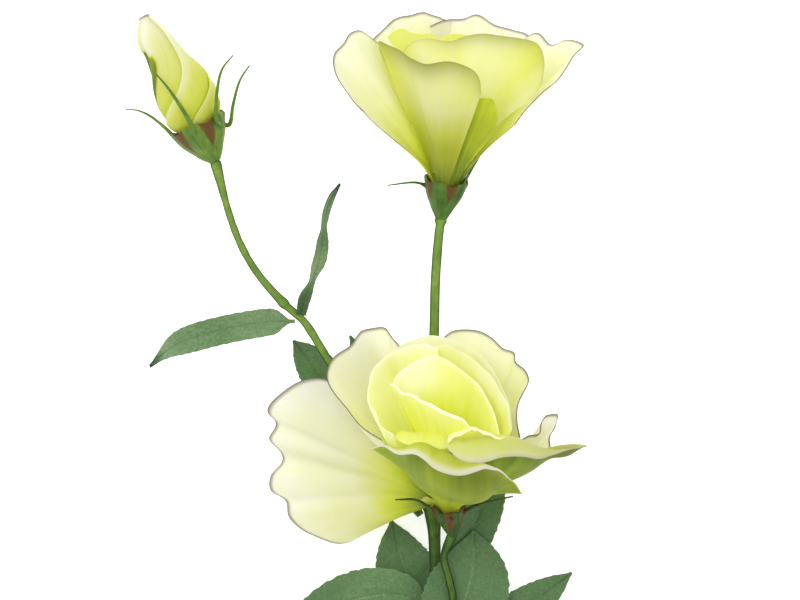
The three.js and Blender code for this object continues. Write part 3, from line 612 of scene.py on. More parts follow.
def petal_form(bloom, petal, u, v):
    """The middle surface of a petal: u runs along its rim, v from its claw to its rim."""
    rim = smooth_line(petal["rim"])
    edge = rim(u)
    claw = petal["claw"]
    ends = nearest(bloom.angle_of(rim([0.0, 1.0])), claw)
    half_claw = math.degrees(CLAW_WIDTH / 2 / petal["ring"]) * np.sign(ends[1] - ends[0])
    claw_angle = claw + half_claw * (2 * u - 1)
    rim_angle = nearest(bloom.angle_of(edge), claw)
    over = claw_angle + (rim_angle - claw_angle) * CLAW_TO_RIM
    foot = bloom.outward(claw_angle) * petal["ring"] - bloom.axis * THROAT_DEPTH
    low = bloom.outward(over) * petal["low"][1] + bloom.axis * petal["low"][0]
    if "waist" in petal:
        high = smooth_line(petal["waist"])(u)
    else:
        high = edge * petal["high"][0] + bloom.axis * petal["high"][1]
    t = v[:, None, None]
    belly = np.sin(np.pi * np.clip((t - SWELL_FROM) / SWELL_LENGTH, 0, 1))**2 * np.sin(np.pi * u)[:, None]
    return (foot * (1 - t)**3 + 3 * low * t * (1 - t)**2 + 3 * high * t**2 * (1 - t) + edge * t**3
            + bloom.throat + petal.get("swell", 0) * belly * bloom.outward(over))


def inside_of(places, bloom):
    """1 where a grid's normals near its foot face the flower's axis, and -1 where they face away."""
    rows = len(places) // 3
    normals = normals_of(places)[:rows]
    away = places[:rows] - bloom.throat
    away = away - (away @ bloom.axis)[..., None] * bloom.axis
    return -np.sign(np.sum(normals * away))


def with_spots(grid, spots, u, v):
    """Adds soft spots to a grid of numbers: each has its place, its width and height, and its strength."""
    across, along = np.meshgrid(u, v)
    for place_u, place_v, wide, high, strength in spots:
        grid += strength * np.exp(-((across - place_u) / wide)**2 - ((along - place_v) / high)**2)
    return grid


def relief(look, seed, u, v):
    """How far a petal's surface is pushed to its inside, in millimetres: by its folds, its ruffle, its
    creases, each with its place, width, depth and start, and its bulges."""
    across, along = np.meshgrid(u, v)
    body = np.sin(np.pi * along)**2
    height = look["folds"] * body * waves(across, seed, 4, 1, 3)
    height += look["ruffle"] * along**6 * waves(across, seed + 1, 4, 2, 6)
    for place, width, depth, start in look["creases"]:
        height += depth * np.exp(-((across - place) / width)**2) * ease(start, 1, along)
    return with_spots(height, look["bulges"], u, v)


def rolled(places, outside, radius, turn, u):
    """More rows past a petal's rim, which roll over to its outside, and less towards the rim's ends."""
    reach = radius * (np.sin(np.pi * np.clip(u, 0.02, 0.98))**0.6 * (1 - 0.8 * ease(0.7, 0.9, u)))[:, None]
    ahead = unit(places[-1] - places[-2])
    angles = np.radians(turn) * np.arange(1, ROLL_ROWS + 1)[:, None, None] / ROLL_ROWS
    more = places[-1] + reach * (np.sin(angles) * ahead + (1 - np.cos(angles)) * outside)
    return np.concatenate([places, more])


# %% A petal's colours
TONE_PLACES = (0.2, 0.62, 0.95, 1.0)  # throat, middle, near the rim, rim


def tones(levels, spots, u, v):
    """A petal's place on the colour ramp, from its levels at those places and its lighter or darker spots."""
    return with_spots(np.interp(np.meshgrid(u, v)[1], TONE_PLACES, levels), spots, u, v)


def rim_line(strength, sides, u, v):
    """The hair-thin brown line along a petal's rim and, where it shows, down its sides."""
    across, along = np.meshgrid(u, v)
    edge = ease(0.986, 0.997, along)
    for side, end in zip(sides, (0, 1)):
        edge = np.maximum(edge, side * (across == end) * ease(0.3, 0.6, along))
    return strength * edge


def paint_petal(piece, row, column, order, grids):
    """Keeps a petal's grids, or single numbers, at its points, and gives it its two materials."""
    for name, values in grids.items():
        grid = np.broadcast_to(values, (row.max() + 1, column.max() + 1))
        paint(piece, name, grid[:, order][row, column])
    dress(piece, PETAL_INSIDE, PETAL_OUTSIDE)


def make_petal(name, bloom, petal, look, seed):
    """One petal, in the place of its solid."""
    look = PLAIN_LOOK | look
    u = np.linspace(0, 1, STEPS * (len(petal["rim"]) - 1) + 1)
    u = np.concatenate([[0, NEAR_SIDE], u[1:-1], [1 - NEAR_SIDE, 1]])
    v = np.concatenate([np.linspace(0, 0.955, ROWS - len(NEAR_RIM)), NEAR_RIM])
    places = petal_form(bloom, petal, u, v)
    side = inside_of(places, bloom)
    normals = side * normals_of(places)
    places = places + relief(look, seed, u, v)[..., None] * normals
    if "roll" in look:
        places = rolled(places, -normals[-1], *look["roll"], u)
        v = np.concatenate([v, np.ones(ROLL_ROWS)])
    order = slice(None, None, int(side))
    piece, row, column = grid_of(name, places[:, order])
    line = rim_line(look["line"], look["line_sides"], u, v)
    if "roll" in look:
        line[:-2] = 0
    paint_petal(piece, row, column, order, dict(
        inside_tone=tones(look["inside"], look["inside_spots"], u, v),
        outside_tone=tones(look["outside"], look["outside_spots"], u, v),
        rim_line=line, olive=tones((0, 0, 0, 0), look["olive"], u, v), glow=look["glow"]))
    thicken(piece, PETAL_THICKNESS, (1.2 - 0.7 * ease(0.2, 0.9, v))[row])
    return piece


# %% [markdown]
# ## The top bloom
# The half open bloom is seen from its side, so the outside of its front petals shows, and the inside of the
# back ones over them. Its looks table says, for the inside and the outside of each petal, how pale it is at
# the throat, the middle, near the rim and at the rim, and where it is lighter, darker or more olive. These
# are partly the petal's own colours and partly painted light and shade, where it turns to or from the light;
# the olive under a rim that curls away is painted shade.

# %% The top bloom's looks
TOP_LOOKS = {
    "back_left": dict(inside=(0.45, 0.84, 0.92, 0.96), outside=(0.3, 0.6, 0.86, 0.9), line=1.0),
    "back_right": dict(inside=(0.45, 0.84, 0.92, 0.96), outside=(0.3, 0.6, 0.86, 0.9), line=1.0),
    "left": dict(inside=(0.3, 0.86, 0.96, 0.98), outside=(0.25, 0.6, 0.86, 0.9), line=1.0,
                 line_sides=(0, 0.7), inside_spots=[(0.0, 0.6, 0.2, 0.5, -0.55)]),
    "right": dict(inside=(0.25, 0.78, 0.92, 0.95), outside=(0.02, 0.4, 0.81, 0.85), line=1.0,
                  line_sides=(0, 0.7), inside_spots=[(1.0, 0.8, 0.2, 0.4, -0.25)]),
    "front_left": dict(inside=(0.4, 0.7, 0.87, 0.9), outside=(0.2, 0.62, 0.64, 0.5), line=0.3, glow=0.3,
                       outside_spots=[(0.55, 0.72, 0.3, 0.2, 0.12), (0.1, 0.8, 0.12, 0.3, -0.12)],
                       olive=[(0.5, 1.0, 0.6, 0.12, 0.5), (0.5, 0.25, 1.0, 0.3, 0.4)]),
    "front_right": dict(inside=(0.4, 0.7, 0.87, 0.9), outside=(0.22, 0.76, 0.72, 0.64), line=0.2, glow=0.3,
                        outside_spots=[(0.74, 0.85, 0.12, 0.35, -0.16)],
                        olive=[(0.5, 1.0, 0.3, 0.08, 0.35)]),
    "front_lobe": dict(inside=(0.3, 0.5, 0.76, 0.8), outside=(0.1, 0.26, 0.29, 0.3), ruffle=0.1),
    "inner_left": dict(glow=0.5, inside=(0.4, 0.52, 0.6, 0.56), outside=(0.3, 0.5, 0.59, 0.6)),
    "inner_back": dict(glow=0.5, inside=(0.4, 0.45, 0.56, 0.54), outside=(0.3, 0.5, 0.59, 0.6)),
}

# %% Grow the top bloom
def grow_bloom(prefix, bloom, petals, looks, first_seed):
    """All of a bloom's petals."""
    for number_in_bloom, petal in enumerate(petals):
        name = f"{prefix}_{petal['name']}_petal"
        piece = make_petal("fine_" + name, bloom, petal, looks[petal["name"]],
                           first_seed + 10 * number_in_bloom)
        settle(piece, "petal", name)
    print(prefix, len(petals), "petals, the last with", len(piece.data.polygons), "faces")


grow_bloom("top_bloom", TOP_BLOOM, TOP_PETALS, TOP_LOOKS, 100)

# %% [markdown]
# ## The open bloom
# The open bloom faces the camera at a slant. A broad petal hangs down at its left, a ring of outer petals
# stands behind, and the inner ones wrap round a hollow made bright partly by painted glow. The front petals
# show their olive outside under a rolled, creamy rim, with painted shade where the rim overhangs it.

# %% The open bloom's looks
# as for the top bloom, the levels and spots are partly the petals' own colours and partly painted light and
# shade
OPEN_LOOKS = {
    "lower_left": dict(glow=0.08, inside=(0.03, 0.84, 0.95, 0.97), outside=(0.25, 0.6, 0.86, 0.9), line=1.0,
                       ruffle=0.5, folds=0.9,
                       inside_spots=[(0.95, 0.85, 0.2, 0.3, -0.3), (0.85, 0.5, 0.25, 0.3, -0.3)],
                       creases=[(0.28, 0.03, -1.2, 0.5), (0.39, 0.03, -1.2, 0.45), (0.56, 0.03, -1.0, 0.5)]),
    "back_left": dict(glow=0.16, inside=(0.3, 0.8, 0.95, 0.98), outside=(0.3, 0.6, 0.86, 0.9), line=1.0),
    "back_right": dict(glow=0.0, inside=(0.5, 0.74, 0.86, 0.92), outside=(0.3, 0.6, 0.86, 0.9), line=1.0),
    "front": dict(inside=(0.34, 0.4, 0.5, 0.96), outside=(0.26, 0.16, 0.22, 0.4), roll=(0.5, 150), glow=0.3,
                  line=0.9, olive=[(0.62, 0.7, 0.4, 0.4, 0.3)],
                  inside_spots=[(0.95, 1.0, 0.08, 0.3, -0.4)]),
    # painted shadow: the right petal's outside, under its flared lip, is painted near the darkest tone and
    # olive
    "right": dict(inside=(0.5, 0.55, 0.62, 0.8), outside=(0.15, 0.02, 0.0, 0.0), line=0.3, glow=1.0,
                  olive=[(0.8, 0.85, 0.3, 0.3, 0.5)],
                  bulges=[(0.68, 0.62, 0.25, 0.3, -2.2), (0.79, 0.84, 0.07, 0.1, -1.8)]),
    "right_back": dict(inside=(0.6, 0.84, 0.92, 0.96), outside=(0.6, 0.84, 0.92, 0.96), line=1.0),
    "back_inner": dict(glow=0.15, inside=(0.35, 0.6, 0.82, 0.92), outside=(0.3, 0.6, 0.77, 0.8)),
    "left_inner": dict(glow=0.7, inside=(0.4, 0.62, 0.8, 0.95), outside=(0.3, 0.6, 0.77, 0.8)),
    "right_inner": dict(glow=0.3, inside=(0.2, 0.4, 0.72, 0.85), outside=(0.3, 0.5, 0.67, 0.7),
                        inside_spots=[(0.5, 0.92, 0.3, 0.08, 0.16)]),
    "heart_back": dict(glow=0.62, inside=(0.36, 0.44, 0.66, 0.88), outside=(0.3, 0.5, 0.67, 0.7),
                       inside_spots=[(0.22, 0.88, 0.2, 0.14, 0.34)]),
    "heart_front": dict(glow=0.85, inside=(0.4, 0.6, 0.86, 0.9), outside=(0.35, 0.54, 0.64, 0.68),
                        roll=(0.5, 140)),
    "heart_right": dict(glow=0.8, inside=(0.4, 0.6, 0.86, 0.9), outside=(0.4, 0.6, 0.72, 0.85)),
    "front_inner": dict(glow=0.75, inside=(0.42, 0.5, 0.6, 0.66), outside=(0.35, 0.55, 0.7, 0.72)),
}

# %% Grow the open bloom
grow_bloom("open_bloom", OPEN_BLOOM, OPEN_PETALS, OPEN_LOOKS, 500)

# %% [markdown]
# ## The bud
# In the bud the petals are still rolled round each other, each one's free edge lying over the next. The four
# sheets wind up to the tip with a twist, each about 40 per cent of a turn wide, and their edges make the
# spiral that the bud shows. Its left side is still green.

# %% Grow the bud
BUD_PETALS = 4
BUD_LENGTH = 32
BUD_WRAP = 150  # how far a petal reaches round the bud, in degrees
BUD_TURN = (-50, -25, 25, 70, 100, 115, 125, 130)
BUD_LAYERS = 1.8  # how far a petal's free edge lies inside its other edge
BUD_LEAN = (0, -0.1, -0.3, -0.5, -0.2, 0.4, 1.2, 0.8)
BUD_RADII = (2.7, 7, 8.5, 7.6, 6.4, 5.2, 4.4, 1.4)
BUD_THICKNESS = 0.5
BUD_LOOK = PLAIN_LOOK | dict(inside=(0.4, 0.7, 0.87, 0.9), outside=(0.45, 0.64, 0.88, 0.92), folds=0.25,
                             outside_spots=[(0.0, 0.5, 0.16, 2.0, 0.22), (0.7, 0.3, 0.3, 0.3, -0.1)],
                             ruffle=0.1, glow=0.3)


def bud_form(order, u, v):
    """The middle surface of one petal of the bud: u runs round it, v up to its tip."""
    across, along = np.meshgrid(u, v)
    angle = order * 360 / BUD_PETALS + (across - 0.5) * BUD_WRAP + evenly(BUD_TURN, along)
    radius = np.maximum(evenly(BUD_RADII, along) - BUD_LAYERS * across, BUD_THICKNESS)
    rise = (BUD_LENGTH + THROAT_DEPTH) * along - THROAT_DEPTH
    return (BUD.throat + BUD.outward(angle) * radius[..., None] + rise[..., None] * BUD.axis
            + evenly(BUD_LEAN, along)[..., None] * BUD.outward(-90))


def green_strip(places, v):
    """How green the bud is at its left side: a strip that is wider at two thirds of its height."""
    strip_end = -90 + 60 * (ease(0.28, 0.66, v) - ease(0.68, 0.82, v))[:, None]
    angle = BUD.angle_of(places - BUD.throat)
    return 0.7 * ease(strip_end + 2, strip_end - 8, angle) * ease(-170, -110, angle)


def make_bud_petal(order):
    """One petal of the bud, in the place of its solid."""
    u = np.linspace(0, 1, 31)
    v = np.linspace(0, 1, 41)
    places = bud_form(order, u, v)
    side = int(inside_of(places, BUD))
    places = places + relief(BUD_LOOK, 900 + order, u, v)[..., None] * side * normals_of(places)
    piece, row, column = grid_of(f"fine_bud_petal_{order + 1}", places[:, ::side])
    paint_petal(piece, row, column, slice(None, None, side), dict(
        inside_tone=tones(BUD_LOOK["inside"], (), u, v),
        outside_tone=tones(BUD_LOOK["outside"], BUD_LOOK["outside_spots"], u, v) - green_strip(places, v),
        rim_line=0.8 * ease(0.985, 1.0, v)[:, None], olive=0, glow=BUD_LOOK["glow"]))
    thicken(piece, BUD_THICKNESS, np.ones(len(row)))
    settle(piece, "bud_petal", f"bud_petal_{order + 1}")


for order in range(BUD_PETALS):
    make_bud_petal(order)
print("bud petals:", BUD_PETALS)

# %% [markdown]
# ## Green skin
# Stems, sepals and leaves share a green skin. Young stems are yellow-green with fine ridges along them. The
# calyx is a deeper green, with thin brownish red membranes between its ribs near the rim. Leaves are a dull
# bluish green, mottled very finely, with a paler midrib and side veins.

# %% Stem and calyx materials
STEM_RAMP = [(0.0, "#2C4416"), (0.45, "#5E8430"), (1.0, "#98B24E")]
CALYX_RAMP = [(0.0, "#34501E"), (0.5, "#5C8032"), (1.0, "#92AA46")]
MEMBRANE = paint_of("#6B3F24")
SKIN_CLOUDS = 260.0
SKIN_ROUGHNESS = 0.6
SKIN_RELIEF = 0.4  # in millimetres, as the leaves' too


def skin_material(name, ramp, ridges):
    """The skin of a stem or a calyx. The piece says how light, partly as painted shade, and how brown each of
    its points is.
    """
    material, tree = new_material(name)
    uv = add(tree, "ShaderNodeUVMap", {"uv_map": "UVMap"})
    place = add(tree, "ShaderNodeTexCoord", output=3)
    lines = noise(tree, stretched(tree, uv, ridges), 1.0)
    clouds = noise(tree, place, SKIN_CLOUDS, 3.0, 0.6)
    colour = add(tree, "ShaderNodeValToRGB", {"stops": ramp},
                 {0: (number(tree, "shade") + (lines - 0.5) * 0.7 + (clouds - 0.5) * 0.8).clamped()})
    brown = (number(tree, "brown") + (clouds - 0.5) * 0.5 * number(tree, "brown")).clamped()
    colour = mixed(tree, brown, colour, MEMBRANE)
    normal = bumped(tree, lines * 0.7 + clouds * 0.3, SKIN_RELIEF, 0.5)
    surface(tree, colour, normal, SKIN_ROUGHNESS, 0.0, **{"Specular IOR Level": 0.2})
    return material


STEM_SKIN = skin_material("stem_skin", STEM_RAMP, (26.0, 3.0, 1.0))
CALYX_SKIN = skin_material("calyx_skin", CALYX_RAMP, (40.0, 2.0, 1.0))

# %% Leaf material
LEAF_RAMP = [(0.0, "#21391F"), (0.4, "#42653B"), (0.7, "#658A54"), (1.0, "#9BB488")]
SIDE_VEINS = 9.0
VEIN_SLANT = 1.5
LEAF_THROUGH = 0.12


def leaf_material():
    """Both faces of the leaves."""
    material, tree = new_material("leaf_skin")
    place = add(tree, "ShaderNodeTexCoord", output=3)
    uv = add(tree, "ShaderNodeUVMap", {"uv_map": "UVMap"})
    parts = add(tree, "ShaderNodeSeparateXYZ", None, {0: uv})
    out = Flow(parts.socket.node.outputs[0]) * 2 - 1
    out = out.join("ABSOLUTE", out)
    along = Flow(parts.socket.node.outputs[1])
    wander = noise(tree, place, 140.0) - 0.5
    vein = along * SIDE_VEINS - out * VEIN_SLANT + wander * 0.5
    vein = vein.join("PINGPONG", vein, 0.5) * 2
    side_vein = (1 - vein * 9).clamped() * (1 - out) * 0.8
    midrib = (1 - out * 22).clamped()
    mottle = noise(tree, place, 1200.0, roughness=0.7)
    clouds = noise(tree, place, 75.0, 3.0, 0.6)
    tone = number(tree, "shade") + (mottle - 0.5) * 0.45 + (clouds - 0.5) * 0.3
    tone = tone + midrib * 0.16 + side_vein * 0.08
    colour = add(tree, "ShaderNodeValToRGB", {"stops": LEAF_RAMP}, {0: tone.clamped()})
    normal = bumped(tree, mottle * 0.35 - side_vein * 0.5 - midrib * 0.5, SKIN_RELIEF, 0.6)
    surface(tree, colour, normal, 0.62, LEAF_THROUGH)
    return material


LEAF_SKIN = leaf_material()
print("green materials:", STEM_SKIN.name, CALYX_SKIN.name, LEAF_SKIN.name)

# %% [markdown]
# ## Stems
# A stem is a tube along the same smooth line as its solid. It is a little thicker at a node, where leaves or
# branches leave it, and under its calyx, and it has shallow ridges all along. Its sides are painted darker
# than its top, as painted shade, and its low part is painted darker, as the open bloom's shadow.

# %% Grow the stems
CUP_HEIGHT = 12
STEM_END = 0.4  # how far a stem reaches into a calyx
MAIN_PATH = [(1.6, -70.2, 1.75), (0.4, -40, 3.6), (-0.5, -12, 6.4), (-1.2, 8, 8), (-1.7, 21.6, 9),
             (-2.8, 34, 9.6), (-2.7, 48.6, 10.5), (-1.6, 70.2, 12), (-1.2, 86.4, 13.6), (-0.3, 98.5, 14.9)]
BRANCH_PATH = [(-1.7, 21.6, 9), (-12, 39.2, 10), (-21.6, 52.7, 12), (-30.2, 64.8, 14), (-36.7, 75.1, 16),
               (-42.2, 80.1, 17.6), (-49.4, 88.4, 19.6), (-53.8, 96, 20.6), (-57, 104.6, 21)]
STALK_PATH = [(2, -12.5, 6.2), (3.4, -6, 11), (3.5, 0.5, 13.6), (2.3, 6.2, 15), (1.1, 11.5, 16.6)]
STEM_SIDES = 28
RIDGES = 7
RIDGE_HEIGHT = 0.025
STEM_TONE_AND_SHADOW = ((0, 16, 30, 100), (0.2, 0.15, 0.5, 0.65))  # painted shadow: darker low down, behind the open bloom
PAINTED_SIDE_SHADE = 0.65


def places_of(piece):
    """Where a piece's points are, in the tables' millimetres."""
    places = np.zeros(len(piece.data.vertices) * 3)
    piece.data.vertices.foreach_get("co", places)
    return places.reshape(-1, 3) / MM - SHIFT


def grow_stem(node, path, bloom, root, neck, nodes, rings):
    """One stem. nodes are (where along it, how much thicker, how far that spreads)."""
    end = bloom.throat - bloom.axis * (CUP_HEIGHT - STEM_END)
    share = np.linspace(0, 1, rings)
    centres = smooth_line([*path, tuple(end)])(share)
    radius = root + (neck - root) * share + 0.04 * waves(share, len(node), 5, 4, 20)
    for place, thicker, spread in nodes:
        radius += thicker * np.exp(-((share - place) / spread)**2)

    def reach(ring, angles):
        return radius[ring] * (1 + RIDGE_HEIGHT * np.cos(RIDGES * angles))

    piece = tube("fine_" + node, centres, reach, STEM_SIDES, UP)
    paint(piece, "brown", np.zeros(len(piece.data.vertices)))
    normals = np.zeros(len(piece.data.vertices) * 3)
    piece.data.vertices.foreach_get("normal", normals)
    # painted shade: points whose normals face sideways are painted darker than those that face up
    sides = PAINTED_SIDE_SHADE * ease(0.92, 0.4, normals[2::3])
    paint(piece, "shade", np.interp(places_of(piece)[:, 1], *STEM_TONE_AND_SHADOW) - sides)
    dress(piece, STEM_SKIN)
    settle(piece, "stem", node)


grow_stem("main_stem", MAIN_PATH, TOP_BLOOM, 1.75, 1.2,
          [(0.45, 1.2, 0.06), (0.55, 0.3, 0.012), (1.0, 0.5, 0.03)], 150)
grow_stem("bud_branch", BRANCH_PATH, BUD, 1.2, 0.92,
          [(0.555, 0.45, 0.014), (0.6, 0.12, 0.03), (1.0, 0.6, 0.05)], 120)
grow_stem("open_bloom_stalk", STALK_PATH, OPEN_BLOOM, 1.15, 1.0, [(0.3, 0.3, 0.03), (1.0, 0.4, 0.12)], 60)
print("stems: 3")

# %% [markdown]
# ## Calyxes
# Each flower sits in a small ribbed cup with five long thin sepals. The cup is turned as on a lathe, with
# its ribs drawn out of it, so its grid is a profile carried round the axis: up the outside, over the rim and
# down the inside. The brown membranes fill the upper part of the wall between two ribs.

# %% Cups
CUP_WALL = 0.7
CUP_RIB = 0.35
CUP_RIBS = 5
CUP_NOTCH = 0.9  # how far the rim dips between two ribs
# how far down the cup, and its radius there as a share of the rim's
CUP_PROFILE = [(1.0, None), (0.85, 0.36), (0.66, 0.54), (0.43, 0.77), (0.215, 0.9), (0.0, 1.0)]
CUP_FOOT = 1.35  # its radius at the bottom, where the profile gives none
CUP_FLOOR_DEPTH = 5.15
CUP_SIDES = 50


def cup(name, bloom, first_angle):
    """A ribbed cup, from rings that each have a height, a radius and how much the ribs show on them."""
    heights = [-CUP_HEIGHT * down for down, _ in CUP_PROFILE]
    radii = [CUP_FOOT if share is None else bloom.cup * share for _, share in CUP_PROFILE]
    up = np.linspace(0, 1, 26)
    outer = [(h, r, 1.0) for h, r in zip(evenly(heights, up), evenly(radii, up))]
    inner = [(0.15, bloom.cup - 0.4 * CUP_WALL, 0.3), (0.0, bloom.cup - CUP_WALL, 0.0),
             (-CUP_FLOOR_DEPTH / 2, bloom.cup * 0.9 - CUP_WALL, 0.0),
             (-CUP_FLOOR_DEPTH, bloom.cup * 0.77 - CUP_WALL, 0.0), (-CUP_FLOOR_DEPTH, bloom.cup * 0.2, 0.0)]
    angles = np.linspace(0, 2 * np.pi, CUP_SIDES + 1)
    rib = CUP_RIB * np.maximum(0, np.cos(CUP_RIBS * angles))**2
    between = np.maximum(0, -np.cos(CUP_RIBS * angles))
    direction = bloom.outward(first_angle + np.degrees(angles))
    rows = []
    for height, radius, ribbed in outer + inner:
        notch = CUP_NOTCH * between * ease(-2.5, 0.0, height)
        reach = radius + ribbed * rib * ease(-CUP_HEIGHT, -CUP_HEIGHT * 0.7, height)
        rows.append(bloom.throat + bloom.axis * (height - notch)[:, None] + direction * reach[:, None])
    return wrap(name, np.array(rows))


MOST_BROWN = 0.9


def brown_of(piece, bloom, first_angle, depth):
    """How brown each point of a calyx is: the membranes between the ribs, from its rim down to a depth."""
    offsets = places_of(piece) - bloom.throat
    height = offsets @ bloom.axis
    angle = np.radians(bloom.angle_of(offsets) - first_angle)
    out = np.linalg.norm(offsets - height[:, None] * bloom.axis, axis=1)
    edge = 0.1 - 0.85 * height / depth  # the lower on the cup, the narrower the membrane
    between = ease(edge - 0.3, edge + 0.1, -np.cos(CUP_RIBS * angle))
    return MOST_BROWN * between * (out < bloom.cup + 0.6)


# %% Sepals
SEPAL_ROOT = 1.3
SEPAL_TIP = 0.2
SEPAL_SIDES = 16


def sepal(name, bloom, angle, path):
    """A long thin sepal, wider than it is thick, with a keel along its outside."""
    root = bloom.outward(angle) * bloom.cup * 0.8 - bloom.axis * CUP_HEIGHT * 0.28
    start = bloom.outward(angle) * bloom.cup * 0.45 - bloom.axis * CUP_HEIGHT * 0.6
    share = np.linspace(0, 1, 40)
    centres = smooth_line([start, root, *[np.array(place, float) for place in path]])(share) + bloom.throat
    radius = (SEPAL_ROOT + (SEPAL_TIP - SEPAL_ROOT) * share**0.6) * ease(-0.1, 0.06, share)

    def reach(ring, angles):
        return radius[ring] * (0.55 + 0.45 * np.abs(np.sin(angles)) + 0.12 * np.maximum(0, np.cos(angles))**4)

    return tube(name, centres, reach, SEPAL_SIDES, bloom.outward(angle) + 0.3 * bloom.axis)


# each sepal: its angle round the calyx, and points from the throat on the way to its tip
TOP_SEPALS = [(-90, [(-8.1, -1.2, -0.5), (-16.2, -1.9, -1.5)]), (-18, [(-3.6, 1.4, 6.2)]),
              (54, [(6, 1.6, 4.6)]), (126, [(7, 3, -7.4), (10, 8, -12.6)]),
              (198, [(-2.4, 2, -8.6), (-5.6, 7, -14.2)])]
OPEN_SEPALS = [(-72, [(-8.4, 0.7, 2.2), (-14.6, 0.9, 3.4)]), (0, [(1.2, -4.4, 5.4)]),
               (72, [(8.4, -0.2, 4.6), (17.3, 1.9, 6.2)]), (144, [(6, 6.6, -6.4), (8, 12.4, -9.4)]),
               (216, [(-6, 7.2, -6.6), (-8, 13.4, -8.8)])]
BUD_SEPALS = [(-90, [(-8.6, -1.6, 1), (-12.7, 1.6, 1.6), (-15.9, 3, 1.9), (-19.2, 3.3, 2)]),
              (-18, [(-1.4, -0.8, 8.9), (-4.6, 4.6, 9.9), (-7.8, 9.2, 9.8), (-10.8, 12.7, 9)]),
              (54, [(5.4, 0.5, 7.4), (5.7, 8.6, 7.7), (7, 14, 7.8), (10, 17.8, 7.8)]),
              (126, [(8.6, -0.8, -3.2), (9.7, 4.6, -3.4), (11.6, 11.3, -2.8), (14.3, 15.4, -2)]),
              (198, [(-2.4, 0.9, -9.6), (-4.5, 8.5, -10.4), (-7.5, 14.5, -11.6)])]


def grow_calyx(node, bloom, sepals, depth, shade, turn=0):
    """A cup and its sepals, as one piece. depth is how far down its membranes reach, and turn moves them
    round it."""
    first_angle = sepals[0][0]
    whole = cup("fine_" + node, bloom, first_angle)
    blades = [sepal(f"{node}_sepal", bloom, angle, path) for angle, path in sepals]
    only(whole)
    for blade in blades:
        blade.select_set(True)
    bpy.ops.object.join()
    paint(whole, "brown", brown_of(whole, bloom, first_angle + turn, depth))
    paint(whole, "shade", np.full(len(whole.data.vertices), shade))
    dress(whole, CALYX_SKIN)
    settle(whole, "calyx", node)


grow_calyx("top_bloom_calyx", TOP_BLOOM, TOP_SEPALS, 4.5, 0.3)
# painted shade: the open bloom's calyx lies under its petals, so its green is painted near its darkest
grow_calyx("open_bloom_calyx", OPEN_BLOOM, OPEN_SEPALS, 8, 0.05, 30)
grow_calyx("bud_calyx", BUD, BUD_SEPALS, 6.5, 0.6)
print("calyxes: 3")

# %% [markdown]
# ## Leaves
# A leaf is a sheet across its midrib: folded a little along it, waved along its edges, and finely and
# unevenly toothed. The midrib and the side veins are pressed into it.

# %% Grow the leaves
LEAF_THICKNESS = 0.45
LEAF_TOOTH = 0.022  # a tooth's depth, as a share of the leaf's half width
LEAF_TEETH = 34
LEAF_WAVES = 2.5
MIDRIB_DEPTH = 0.25
VEIN_DEPTH = 0.12
LEAF_SHAPE = (0.16, 0.5, 0.8, 0.97, 1, 0.93, 0.75, 0.45, 0.05)  # its width, from its base to its tip
